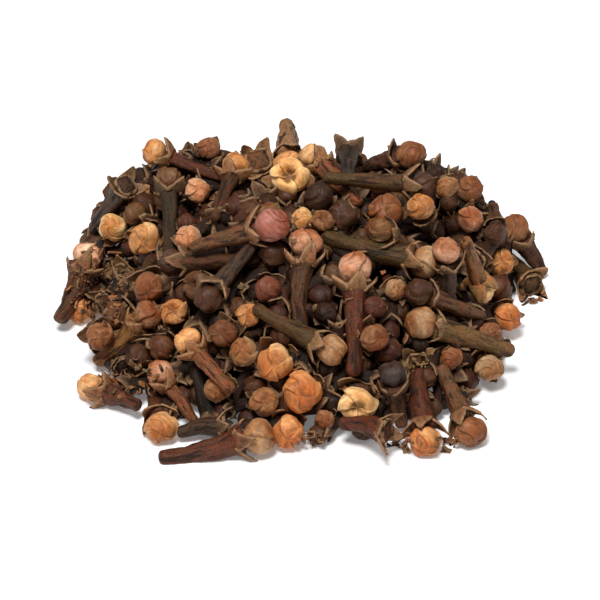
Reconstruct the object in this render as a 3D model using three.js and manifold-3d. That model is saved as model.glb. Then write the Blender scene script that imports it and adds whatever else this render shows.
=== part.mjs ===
// A loose heap of whole dried cloves, as it lies on a flat surface.
// Millimetres, +Z up. The origin is on the surface, under the middle of the heap.
// The heap is one solid: a low smooth core, and on it the cloves that show, each fused to what it lies on.

import * as THREE from "three";
import { mergeVertices } from "three/addons/utils/BufferGeometryUtils.js";
import Module from "manifold-3d";

// ---- Driving dimensions, in millimetres and degrees ----

// A clove of size 1: a ball of folded petals on a tapering stem, with four pointed sepals between them.
// Its outline runs from the tail to the top of the ball: distance behind the ball's centre, and radius.
const STEM_LENGTH = 13.2;
const TAIL = { back: 13.2, radius: 0.95 };
const SHOULDER = { back: 4.2, radius: 1.4 };
const SEPAL_TIP = { back: 1.1, radius: 3.4 };
const SEPAL_GAP = { back: 2.2, radius: 2.0 };
const CHEEK = { back: -0.8, radius: 2.2 };
const BALL_TOP = 2.2;
const CUP_DEPTH = 3.4;
// The head has eight sides, and the stem four, whose edges run up to the sepals.
const HEAD_SIDES = 8;
const STEM_CORNER = 1.25;

// A clove's shortest and longest stem, as shares of what its girth asks for.
const SHORTEST = 0.7;
const LONGEST = 1.15;

// Balls strung along a clove tell where it touches: the ball of petals, then one for each step down the stem.
const BALL_FEELER = 2.1;
const FIRST_STEM_FEELER = { back: 2.2, radius: 1.35 };
const LAST_STEM_FEELER = { back: 12.6, radius: 0.8 };
const STEM_FEELERS = 11;
// How far a clove is pressed into what it comes to rest on, which fuses them.
const BITE = 0.2;

// The core is five overlapping mounds, each a round hill: its centre on the surface, the half-widths of its
// foot, and its height.
const MOUNDS = [
  { x: 0, y: -2, rx: 27, ry: 26, height: 18 },
  { x: -14, y: 12, rx: 16, ry: 15, height: 15.5 },
  { x: 14, y: 11, rx: 16, ry: 15, height: 14.5 },
  { x: -15, y: -12, rx: 12, ry: 12, height: 7 },
  { x: 14, y: -12, rx: 11, ry: 12, height: 7 },
];
const MOUND_SIDES = 12;
const MOUND_BANDS = 3;
// A thin bed of crumbs under it all joins the cloves that lie on the surface.
const BED = { x: 0, y: 1, rx: 29, ry: 30, thickness: 0.6, sides: 16 };
// Corners this close together are one, and details of the joined solid smaller than FINEST are left out.
const WELD = 1e-4;
const FINEST = 0.08;

// The near side of the heap is laid out as someone sees it who looks down on it from this height and
// distance.
const VIEW_ELEVATION = 36;
const VIEW_DISTANCE = 420;
// A clove that meets nothing on its way in stops over this line, behind the crest, and comes straight down.
const CREST_LINE = 17;

// How a clove lies: looking out with its stem buried, or across the others, and with its ball or an open cup.
const OUT = { across: false, ball: true };
const OPEN_OUT = { across: false, ball: false };
const ACROSS = { across: true, ball: true };
const OPEN_ACROSS = { across: true, ball: false };

// The near side, in the order it is laid. Each row: how the clove lies, head right, head up, tail right and
// tail up as the viewer sees them, and its size.
const NEAR_SIDE = [
  [ACROSS, -19.5, 20.8, -9.0, 16.8, 0.75],
  [OUT, -12.5, 21.3, -11.5, 18.5, 0.7],
  [ACROSS, -9.0, 19.0, -11.5, 11.7, 0.8],
  [OPEN_OUT, -6.0, 20.5, -6.5, 16.0, 0.95],
  [ACROSS, -2.0, 19.0, -2.5, 25.0, 0.95],
  [ACROSS, 1.0, 20.3, 7.0, 13.8, 0.85],
  [OPEN_ACROSS, 5.7, 21.3, 5.3, 16.5, 0.85],
  [ACROSS, 13.8, 20.5, 7.8, 18.7, 0.9],
  [OUT, 21.5, 16.0, 19.0, 14.5, 0.85],
  [ACROSS, 15.5, 16.5, 2.5, 17.5, 0.85],
  [OUT, 18.5, 16.3, 16.5, 17.0, 0.65],
  [OUT, -2.0, 17.5, -0.5, 15.0, 1.1],
  [OUT, -14.0, 15.8, -16.0, 13.5, 0.75],
  [OUT, 15.0, 13.7, 16.0, 10.0, 0.8],
  [OUT, 10.5, 13.2, 12.7, 10.4, 0.95],
  [OUT, 4.8, 12.5, 7.0, 10.7, 0.8],
  [OUT, 21.5, 12.0, 19.0, 10.0, 0.8],
  [OPEN_ACROSS, -22.6, 17.4, -28.2, 11.0, 0.85],
  [OUT, -25.0, 11.0, -22.7, 8.7, 0.85],
  [OUT, -20.8, 9.4, -19.0, 13.5, 0.95],
  [OUT, -15.2, 9.6, -13.7, 7.0, 0.75],
  [ACROSS, -17.3, 6.5, -8.0, 6.5, 0.8],
  [OPEN_OUT, -24.5, 4.8, -22.0, 3.5, 0.75],
  [OPEN_OUT, -26.7, 0.7, -24.0, -0.4, 0.75],
  [ACROSS, -12.6, 1.8, -7.0, 8.7, 0.8],
  [ACROSS, -4.3, 11.3, -14.5, 8.5, 0.95],
  [OUT, -0.3, 12.0, -0.3, 9.5, 0.65],
  [ACROSS, 15.5, 6.5, 2.6, 9.9, 0.9],
  [ACROSS, 18.3, 8.0, 19.2, 1.2, 0.85],
  [ACROSS, 23.0, 2.9, 20.5, 9.0, 0.8],
  [OUT, 25.4, 6.5, 25.0, 3.5, 0.85],
  [ACROSS, 27.3, 10.8, 31.2, 4.8, 0.85],
  [OPEN_OUT, 30.3, 2.7, 26.0, 4.5, 0.9],
  [ACROSS, 0.0, 9.0, -0.3, -1.7, 0.95],
  [OUT, -4.8, 2.9, -4.3, 6.0, 0.8],
  [OUT, -7.4, -0.4, -5.6, -1.7, 0.7],
  [ACROSS, 6.5, 5.7, 6.2, -7.8, 0.95],
  [OUT, 11.8, 2.9, 10.4, 5.5, 0.6],
  [ACROSS, 14.7, 2.6, 23.3, -0.4, 0.8],
  [OUT, 26.3, -0.6, 22.8, 0.5, 0.8],
  [OUT, 24.0, -2.9, 21.5, -2.6, 0.75],
  [ACROSS, 15.0, -1.4, 27.0, -5.0, 0.9],
  [ACROSS, -20.4, -0.3, -27.3, -6.5, 0.85],
  [OUT, -17.0, 0.0, -15.6, -2.3, 0.8],
  [OUT, -29.3, 0.1, -26.0, 1.0, 0.75],
  [ACROSS, -28.3, 7.2, -31.7, -1.2, 0.9],
  [ACROSS, -27.7, -9.8, -21.5, -12.0, 0.85],
  [OUT, -18.7, -15.0, -20.2, -11.4, 0.9],
  [ACROSS, -18.9, -7.9, -14.0, -15.0, 0.75],
  [OUT, -11.3, -9.9, -9.0, -11.4, 0.85],
  [ACROSS, -15.2, -3.8, -9.5, -9.9, 0.75],
  [OUT, -8.0, -5.2, -7.2, -7.8, 0.85],
  [OUT, -3.9, -6.6, -3.0, -3.4, 1.05],
  [OUT, -0.4, -10.4, 1.7, -7.8, 1.05],
  [OUT, -5.3, -11.7, -5.6, -14.7, 0.8],
  [ACROSS, 3.4, -5.0, -6.2, 0.4, 0.85],
  [OUT, 6.8, -12.0, 6.8, -8.8, 1.1],
  [OUT, -2.2, -15.6, -2.0, -12.7, 0.9],
  [OUT, 2.6, -14.0, 3.3, -11.4, 0.55],
  [ACROSS, 11.3, -8.0, 12.6, -14.7, 0.8],
  [OPEN_OUT, 15.2, -6.9, 12.4, -8.8, 0.85],
  [OUT, 24.0, -7.3, 20.5, -8.8, 0.85],
  [OUT, 19.0, -6.0, 17.5, -4.0, 0.65],
  [ACROSS, 15.6, -16.8, 15.0, -8.2, 0.9],
  [ACROSS, 21.5, -15.6, 18.0, -7.5, 0.9],
  [OPEN_ACROSS, 12.3, -15.7, 5.0, -14.7, 0.85],
  [OPEN_ACROSS, -8.8, -14.6, -16.2, -15.8, 0.75],
  [ACROSS, -6.0, -16.2, -18.3, -18.8, 0.95],
];

// The far side and the gaps are filled by rule, from a seeded draw. Cloves go down on the spots of a spiral,
// each the lowest of several tries. A spot stays empty where others would hold the clove too high above the
// core, where it would hide a clove of the near side, or where it would stick out of the heap's outline.
const SEED = 3;
const FOOT = { x: -0.5, y: 4, rx: 29, ry: 28 };
const OUTLINE = { right: -2.0, up: 1, width: 30.5, height: 20.8, power: 3 };
const TRIES = 12;
const SCATTER = 2.5;
const LYING = { spots: 105, highest: 4.5, smallest: 0.75, largest: 1.0, openShare: 0.15 };
const PEEPING = { spots: 85, highest: 2.3, smallest: 0.6, largest: 0.9, lean: 4 };
// A clove of the rule hides one of the near side if they look closer together than this share of their radii.
const SEEN_APART = 0.75;
const GOLDEN_ANGLE = Math.PI * (3 - Math.sqrt(5));

// ---- Seeded draw ----

let state = SEED;

function draw(low, high) {
  state = (Math.imul(state, 1664525) + 1013904223) >>> 0;
  return low + (high - low) * (state / 2 ** 32);
}

// ---- The viewer's directions ----

const elevation = THREE.MathUtils.degToRad(VIEW_ELEVATION);
const RIGHT = new THREE.Vector3(1, 0, 0);
const RISE = new THREE.Vector3(0, Math.sin(elevation), Math.cos(elevation));
const AWAY = new THREE.Vector3(0, Math.cos(elevation), -Math.sin(elevation));
const DOWN = new THREE.Vector3(0, 0, -1);
const EYE = AWAY.clone().multiplyScalar(-VIEW_DISTANCE);
// Every clove starts this far from where it is going, clear of the heap.
const START = 80;

const along = (point, direction, distance) => point.clone().addScaledVector(direction, distance);
const seenAt = (right, up) => new THREE.Vector3().addScaledVector(RIGHT, right).addScaledVector(RISE, up);

// ---- Laying a clove ----

const laid = [];

// A clove's feelers, from its head's centre, its direction (tail to head), its size and its stem's length.
function feelersOf({ head, axis, size, length, ball }) {
  const feelers = ball ? [{ at: head, radius: BALL_FEELER * size }] : [];
  for (let step = 0; step < STEM_FEELERS; step++) {
    const share = step / (STEM_FEELERS - 1);
    const back = THREE.MathUtils.lerp(FIRST_STEM_FEELER.back, LAST_STEM_FEELER.back, share);
    const radius = THREE.MathUtils.lerp(FIRST_STEM_FEELER.radius, LAST_STEM_FEELER.radius, share);
    feelers.push({ at: along(head, axis, -back * length / STEM_LENGTH), radius: radius * size });
  }
  return feelers;
}

// How far one ball goes in a direction until it meets another ball.
function reachOfBall(own, other, direction) {
  const between = other.at.clone().sub(own.at);
  const ahead = between.dot(direction);
  const touch = own.radius + other.radius;
  const bite = touch * touch - (between.lengthSq() - ahead * ahead);
  return bite > 0 && ahead > 0 ? ahead - Math.sqrt(bite) : Infinity;
}

// The same for a mound, grown by the ball's radius.
function reachOfMound(own, mound, direction) {
  const grown = new THREE.Vector3(mound.rx, mound.ry, mound.height).addScalar(own.radius);
  const from = own.at.clone().sub(new THREE.Vector3(mound.x, mound.y, 0)).divide(grown);
  const step = direction.clone().divide(grown);
  const a = step.x ** 2 + step.y ** 2;
  const b = 2 * (from.x * step.x + from.y * step.y) + step.z;
  const c = from.x ** 2 + from.y ** 2 + from.z - 1;
  const root = b * b - 4 * a * c;
  return root > 0 && b < 0 ? 2 * c / (Math.sqrt(root) - b) : Infinity;
}

// How far feelers go in a direction until the first of them meets the surface, the core or a clove.
function reach(feelers, direction, cloves = laid) {
  let least = Infinity;
  for (const own of feelers) {
    if (direction.z < 0) least = Math.min(least, (own.radius - own.at.z) / direction.z);
    for (const mound of MOUNDS) least = Math.min(least, reachOfMound(own, mound, direction));
    for (const clove of cloves) {
      for (const other of clove.feelers) least = Math.min(least, reachOfBall(own, other, direction));
    }
  }
  return least;
}

function lay(clove) {
  clove.turn = draw(0, Math.PI / 2);
  clove.feelers = feelersOf(clove);
  laid.push(clove);
}

const letFall = (own) => along(own.at, DOWN, reach([own], DOWN) + BITE);

// Where a ball stops that is sent in along the viewer's line of sight through a point, and whether it missed
// everything.
function sendIn(target, radius) {
  const sight = target.clone().sub(EYE).normalize();
  const start = along(target, sight, -START);
  const beforeCrest = (CREST_LINE - start.y) / sight.y;
  const far = reach([{ at: start, radius }], sight) + BITE;
  return { at: along(start, sight, Math.min(far, beforeCrest)), radius, missed: far > beforeCrest };
}

// A head that looks out, with its stem buried in the heap. The tail stays above the surface.
function layOut(head, axis, size, ball) {
  const length = STEM_LENGTH * size;
  const tail = along(head, axis, -length);
  tail.z = Math.max(tail.z, TAIL.radius * size);
  lay({ head, axis: head.clone().sub(tail).normalize(), size, length, ball });
}

function layOutInSight([{ ball }, headRight, headUp, tailRight, tailUp, size]) {
  const lean = seenAt(headRight - tailRight, headUp - tailUp);
  const depth = Math.sqrt((STEM_LENGTH * size) ** 2 - lean.lengthSq());
  const ballAt = sendIn(seenAt(headRight, headUp), BALL_FEELER * size);
  const head = ballAt.missed ? letFall(ballAt) : ballAt.at;
  layOut(head, along(lean, AWAY, -depth).normalize(), size, ball);
}

// A clove across the others: its head and tail come to rest apart, which tilts it, and then the whole does.
function layAcrossInSight([{ ball }, headRight, headUp, tailRight, tailUp, size]) {
  const target = seenAt(headRight, headUp);
  const headRest = sendIn(target, BALL_FEELER * size).at;
  const tailRest = sendIn(seenAt(tailRight, tailUp), LAST_STEM_FEELER.radius * size).at;
  const lean = seenAt(headRight - tailRight, headUp - tailUp);
  const deeper = tailRest.clone().sub(headRest).dot(AWAY);
  const natural = STEM_LENGTH * size;
  const apart = Math.hypot(lean.length(), deeper);
  const length = THREE.MathUtils.clamp(apart, natural * SHORTEST, natural * LONGEST);
  const depth = Math.sqrt(Math.max(0, length * length - lean.lengthSq())) * Math.sign(deeper);
  const sight = target.clone().sub(EYE).normalize();
  const start = along(target, sight, -START);
  const clove = { head: start, axis: along(lean, AWAY, -depth).normalize(), size, length, ball };
  const beforeCrest = (CREST_LINE - start.y) / sight.y;
  const far = reach(feelersOf(clove), sight) + BITE;
  clove.head = along(start, sight, Math.min(far, beforeCrest));
  if (far > beforeCrest) clove.head = along(clove.head, DOWN, reach(feelersOf(clove), DOWN) + BITE);
  lay(clove);
}

// Whether a feeler comes between the viewer and a clove of the near side, or sticks out of the heap's outline.
function isInTheWay(own) {
  const right = (Math.abs(own.at.dot(RIGHT) - OUTLINE.right) + own.radius) / OUTLINE.width;
  const up = (Math.abs(own.at.dot(RISE) - OUTLINE.up) + own.radius) / OUTLINE.height;
  if (right ** OUTLINE.power + up ** OUTLINE.power > 1) return true;
  return laid.slice(0, NEAR_SIDE.length).some((clove) => clove.feelers.some((other) => {
    const between = other.at.clone().sub(own.at);
    const behind = between.dot(AWAY);
    const apart = (own.radius + other.radius) * SEEN_APART;
    return behind > 0 && between.lengthSq() - behind * behind < apart * apart;
  }));
}

// How high a clove is held above the core, where it is held highest.
const raisedBy = (feelers) => Math.max(...feelers.map((own) => reach([own], DOWN, [])));

// A clove let down near a spot: its two ends come to rest apart, which tilts it, and then the whole does.
function letDown(x, y) {
  const size = draw(LYING.smallest, LYING.largest);
  const heading = draw(0, 2 * Math.PI);
  const length = STEM_LENGTH * size * draw(SHORTEST, LONGEST);
  const ball = draw(0, 1) > LYING.openShare;
  const middle = new THREE.Vector3(x + draw(-SCATTER, SCATTER), y + draw(-SCATTER, SCATTER), START);
  const level = new THREE.Vector3(Math.cos(heading), Math.sin(heading), 0);
  const headEnd = { at: along(middle, level, length / 2), radius: BALL_FEELER * size };
  const tailEnd = { at: along(middle, level, -length / 2), radius: LAST_STEM_FEELER.radius * size };
  const headFall = reach([headEnd], DOWN);
  const tailFall = reach([tailEnd], DOWN);
  const axis = along(level.multiplyScalar(length), DOWN, headFall - tailFall).normalize();
  const clove = { head: along(middle, axis, length / 2), axis, size, length, ball };
  clove.head = along(clove.head, DOWN, reach(feelersOf(clove), DOWN) + BITE);
  clove.raised = feelersOf(clove).some(isInTheWay) ? Infinity : raisedBy(feelersOf(clove));
  return clove;
}

// A head let down into a gap, to look out of it.
function peepOut(x, y) {
  const size = draw(PEEPING.smallest, PEEPING.largest);
  const own = { at: new THREE.Vector3(x + draw(-SCATTER, SCATTER), y + draw(-SCATTER, SCATTER), START) };
  own.radius = BALL_FEELER * size;
  own.at = letFall(own);
  return { head: own.at, size, raised: isInTheWay(own) ? Infinity : raisedBy([own]) };
}

function lowestNear(spot, spots, trial) {
  const angle = spot * GOLDEN_ANGLE;
  const out = Math.sqrt((spot + 0.5) / spots);
  const x = FOOT.x + FOOT.rx * out * Math.cos(angle);
  const y = FOOT.y + FOOT.ry * out * Math.sin(angle);
  const tries = Array.from({ length: TRIES }, () => trial(x, y));
  return tries.reduce((best, clove) => (clove.raised < best.raised ? clove : best));
}

function fillByRule() {
  for (let spot = 0; spot < LYING.spots; spot++) {
    const clove = lowestNear(spot, LYING.spots, letDown);
    if (clove.raised < LYING.highest) lay(clove);
  }
  for (let spot = 0; spot < PEEPING.spots; spot++) {
    const { head, size, raised } = lowestNear(spot, PEEPING.spots, peepOut);
    const lean = new THREE.Vector3(draw(-PEEPING.lean, PEEPING.lean), draw(-PEEPING.lean, PEEPING.lean), 0);
    if (raised < PEEPING.highest) layOut(head, head.clone().add(lean).normalize(), size, true);
  }
}

for (const row of NEAR_SIDE) (row[0].across ? layAcrossInSight : layOutInSight)(row);
fillByRule();

// ---- Solids ----

const wasm = await Module();
wasm.setup();

function solidOf(geometry) {
  geometry.deleteAttribute("normal");
  geometry.deleteAttribute("uv");
  const merged = mergeVertices(geometry, WELD);
  const corners = merged.index.array;
  const kept = [];
  for (let i = 0; i < corners.length; i += 3) {
    const [a, b, c] = [corners[i], corners[i + 1], corners[i + 2]];
    if (a !== b && b !== c && c !== a) kept.push(a, b, c);
  }
  const vertProperties = new Float32Array(merged.attributes.position.array);
  return new wasm.Manifold(new wasm.Mesh({ numProp: 3, vertProperties, triVerts: new Uint32Array(kept) }));
}

// A clove along +Y, turned from its outline. Every other corner of its rim is drawn out into a sepal, and on
// the stem the corners between those fall in with their neighbours, which leaves it four sides.
function cloveGeometry({ size, length, ball }) {
  const stretch = length / (STEM_LENGTH * size);
  const stem = [
    new THREE.Vector2(0, -TAIL.back * stretch),
    new THREE.Vector2(TAIL.radius * STEM_CORNER, -TAIL.back * stretch),
    new THREE.Vector2(SHOULDER.radius * STEM_CORNER, -SHOULDER.back),
  ];
  const rim = new THREE.Vector2(SEPAL_GAP.radius, -SEPAL_GAP.back);
  const round = 1 / Math.cos(Math.PI / HEAD_SIDES);
  const top = ball
    ? [new THREE.Vector2(CHEEK.radius * round, -CHEEK.back), new THREE.Vector2(0, BALL_TOP)]
    : [new THREE.Vector2(0, -CUP_DEPTH)];
  const outline = [...stem, rim, ...top];
  const geometry = new THREE.LatheGeometry(outline, HEAD_SIDES);
  const { position } = geometry.attributes;
  const corner = (side, ring) => (side % HEAD_SIDES) * outline.length + ring;
  for (let side = 0; side <= HEAD_SIDES; side++) {
    const first = side * outline.length;
    const angle = 2 * Math.PI * side / HEAD_SIDES;
    const tip = [SEPAL_TIP.radius * Math.sin(angle), -SEPAL_TIP.back, SEPAL_TIP.radius * Math.cos(angle)];
    const hasSepal = side % 2 === 0;
    if (hasSepal) position.setXYZ(first + stem.length, ...tip);
    for (let ring = 1; ring < stem.length && !hasSepal; ring++) {
      const next = new THREE.Vector3().fromBufferAttribute(position, corner(side + 1, ring));
      position.setXYZ(first + ring, ...next);
    }
  }
  return geometry.scale(size, size, size);
}

function cloveSolid(clove) {
  const aim = new THREE.Quaternion().setFromUnitVectors(new THREE.Vector3(0, 1, 0), clove.axis);
  const place = new THREE.Matrix4().makeRotationFromQuaternion(aim);
  place.multiply(new THREE.Matrix4().makeRotationY(clove.turn)).setPosition(clove.head);
  return solidOf(cloveGeometry(clove).applyMatrix4(place));
}

// A mound falls off with the square of the distance from its top, and is closed by its flat foot.
function moundSolid({ x, y, rx, ry, height }) {
  const outline = [new THREE.Vector2(0, 0)];
  for (let band = 0; band <= MOUND_BANDS; band++) {
    const out = 1 - band / MOUND_BANDS;
    outline.push(new THREE.Vector2(out, 1 - out * out));
  }
  const round = 1 / Math.cos(Math.PI / MOUND_SIDES);
  const geometry = new THREE.LatheGeometry(outline, MOUND_SIDES).rotateX(Math.PI / 2);
  return solidOf(geometry.scale(rx * round, ry * round, height * round).translate(x, y, 0));
}

function bedSolid({ x, y, rx, ry, thickness, sides }) {
  const disc = new THREE.CylinderGeometry(1, 1, thickness, sides).rotateX(Math.PI / 2);
  return solidOf(disc.scale(rx, ry, 1).translate(x, y, thickness / 2));
}

// Everything is kept above the surface by a large block that starts there.
function aboveSurface() {
  const side = 4 * FOOT.rx;
  return solidOf(new THREE.BoxGeometry(side, side, side).translate(0, 0, side / 2));
}

function union(solids) {
  let row = solids;
  while (row.length > 1) {
    const pairs = [];
    for (let i = 0; i < row.length; i += 2) pairs.push(row[i + 1] ? row[i].add(row[i + 1]) : row[i]);
    row = pairs;
  }
  return row[0];
}

// The largest body of the union is the heap. What is left out is scraps, and the walls of sealed hollows.
function heapSolid() {
  const solids = [bedSolid(BED), ...MOUNDS.map(moundSolid), ...laid.map(cloveSolid)];
  const whole = union(solids).intersect(aboveSurface());
  const heap = whole.decompose().reduce((best, body) => (body.volume() > best.volume() ? body : best));
  return heap.simplify(FINEST);
}

function geometryOf(solid) {
  const mesh = solid.getMesh();
  const geometry = new THREE.BufferGeometry();
  geometry.setAttribute("position", new THREE.BufferAttribute(mesh.vertProperties, 3));
  geometry.setIndex(new THREE.BufferAttribute(mesh.triVerts, 1));
  return geometry;
}

// ---- The heap ----

const driedClove = new THREE.MeshStandardMaterial({ color: 0x6e4426, roughness: 0.75, metalness: 0 });
const heap = new THREE.Mesh(geometryOf(heapSolid()), driedClove);
heap.name = "clove_heap";

const group = new THREE.Group();
group.add(heap);

export default group;
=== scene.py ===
# %% [markdown]
# # A heap of whole dried cloves
#
# Cloves are dried flower buds. Each has a four-sided stem, four pointed sepals that spread like a
# claw, and, held in the claw, a ball of four folded petals. This lesson makes model buds, lays
# them in a heap by rule, and dresses them with procedural materials.
#
# The imported CAD part gives the heap's place and outline. Its single solid is replaced here by the
# real things, each lying where the solid has it.

# %% Load the imported part
import math

import bmesh
import bpy
import numpy as np
from mathutils import Matrix, Vector, noise


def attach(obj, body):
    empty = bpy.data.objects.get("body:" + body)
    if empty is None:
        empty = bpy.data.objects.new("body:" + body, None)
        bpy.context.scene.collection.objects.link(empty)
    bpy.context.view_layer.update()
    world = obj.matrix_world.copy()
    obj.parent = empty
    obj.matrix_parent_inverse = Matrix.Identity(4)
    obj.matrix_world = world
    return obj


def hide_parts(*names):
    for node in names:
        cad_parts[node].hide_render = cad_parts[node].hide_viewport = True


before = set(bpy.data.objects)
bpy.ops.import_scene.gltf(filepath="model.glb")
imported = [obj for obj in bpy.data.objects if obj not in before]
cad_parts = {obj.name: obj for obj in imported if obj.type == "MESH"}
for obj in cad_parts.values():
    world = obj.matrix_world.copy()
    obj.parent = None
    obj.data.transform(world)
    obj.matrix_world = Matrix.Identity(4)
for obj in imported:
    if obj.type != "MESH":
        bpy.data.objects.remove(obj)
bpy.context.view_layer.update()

# %% [markdown]
# ## Units, blends and the seeded draw
#
# Cloves are measured in millimetres, so the making is in millimetres and one factor takes it to
# metres at the end. Two blends, a straight one and a smooth one, serve throughout. Chance comes from
# two small generators of our own, so that every run gives the same heap: one for how the cloves lie,
# one for how they look. Keeping them apart means that a change of colour never moves a clove.

# %% Units, blends and draws
MM = 0.001


def mix(low, high, share):
    return low + (high - low) * share


def smooth_share(value, low, high):
    """0 up to one limit, 1 from the other on, and an S-curve between them."""
    share = min(1.0, max(0.0, (value - low) / (high - low)))
    return share * share * (3 - 2 * share)


class Draw:
    """A linear congruential generator, called with the limits of what it draws."""

    def __init__(self, seed):
        self.state = seed

    def __call__(self, low, high):
        self.state = (self.state * 1664525 + 1013904223) % 2**32
        return low + (high - low) * (self.state / 2**32)


lie_draw = Draw(3)
look_draw = Draw(5)


def pick(choices):
    return choices[int(look_draw(0, len(choices)))]


# %% [markdown]
# ## The sizes of a clove
#
# These are the driving dimensions of a clove of size 1, the same as in the CAD part. "Back" is the
# distance behind the middle of the ball, towards the tail.

# %% Sizes of a clove, in millimetres
STEM_LENGTH = 13.2
TAIL = {"back": 13.2, "radius": 0.95}
SHOULDER = {"back": 4.2, "radius": 1.4}
SEPAL_TIP = {"back": 1.1, "radius": 3.4}
BALL_RADIUS = 2.12
SHORTEST = 0.7
LONGEST = 1.15
print("a clove of size 1 is", round(STEM_LENGTH + BALL_RADIUS, 1), "mm long")

# %% [markdown]
# ## Colours
#
# A dried clove is never one brown. The balls run from gold over amber and rose to rust, and the
# stems from tawny over russet and olive to a dark slate. The names below are those families, as
# display colours from 0 to 255, which Blender needs in linear light. The three lists are for the
# cloves that chance tones: their balls on the far side, their balls in front, which are darker,
# partly as the cloves' own browns and partly as painted shade between the near side's cloves, and
# their stems.

# %% Named tones


def tone(red, green, blue):
    """A display colour in linear light."""
    return tuple(((value / 255 + 0.055) / 1.055) ** 2.4 for value in (red, green, blue))


STRAW = tone(228, 172, 106)
GOLD = tone(200, 143, 84)
HONEY = tone(176, 114, 62)
AMBER = tone(174, 102, 50)
BLUSH = tone(186, 124, 82)
ROSE = tone(160, 100, 64)
TAN = tone(140, 93, 54)
RUST = tone(124, 73, 40)
CLARET = tone(140, 76, 54)
MAHOGANY = tone(104, 54, 33)
UMBER = tone(70, 43, 26)

CORKY = tone(172, 134, 98)
ASH = tone(138, 104, 76)
FAWN = tone(126, 76, 46)
MOSS = tone(112, 84, 52)
TAWNY = tone(102, 66, 42)
RUSSET = tone(86, 44, 25)
BARK = tone(82, 50, 30)
OLIVE = tone(82, 58, 30)
SLATE = tone(72, 50, 36)
SOOT = tone(56, 44, 36)

FAR_TONES = [GOLD, HONEY, AMBER, HONEY, ROSE, TAN, RUST, RUST, UMBER]
# Painted shade: balls that show in front between the near side's cloves take darker tones.
SHADED_BETWEEN_TONES = [TAN, RUST, RUST, RUST, RUST, MAHOGANY, UMBER]
STEM_TONES = [FAWN, TAWNY, RUSSET, BARK, BARK, BARK, OLIVE, SLATE]
print(len(set(FAR_TONES + SHADED_BETWEEN_TONES)), "tones for balls,", len(set(STEM_TONES)), "for stems")

# %% [markdown]
# ## The near side
#
# The cloves that a viewer in front sees are laid one by one, in the order of this table. A row
# says how the clove lies, where the viewer sees its head and its tail (right and up, in
# millimetres), its size, and the tones of its ball and its stem. A clove looks out with its stem
# buried, or lies across the others, and holds its ball or is an open cup.

# %% The near side's cloves
OUT = {"across": False, "ball": True}
PARTED_OUT = {"across": False, "ball": True, "parted": True}
OPEN_OUT = {"across": False, "ball": False}
ACROSS = {"across": True, "ball": True}
OPEN_ACROSS = {"across": True, "ball": False}
FORKED = {"across": True, "ball": False, "turn": math.pi / 4}

# Painted light: a few rows take a lighter tone than their clove's own where it lies in shadow.
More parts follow.
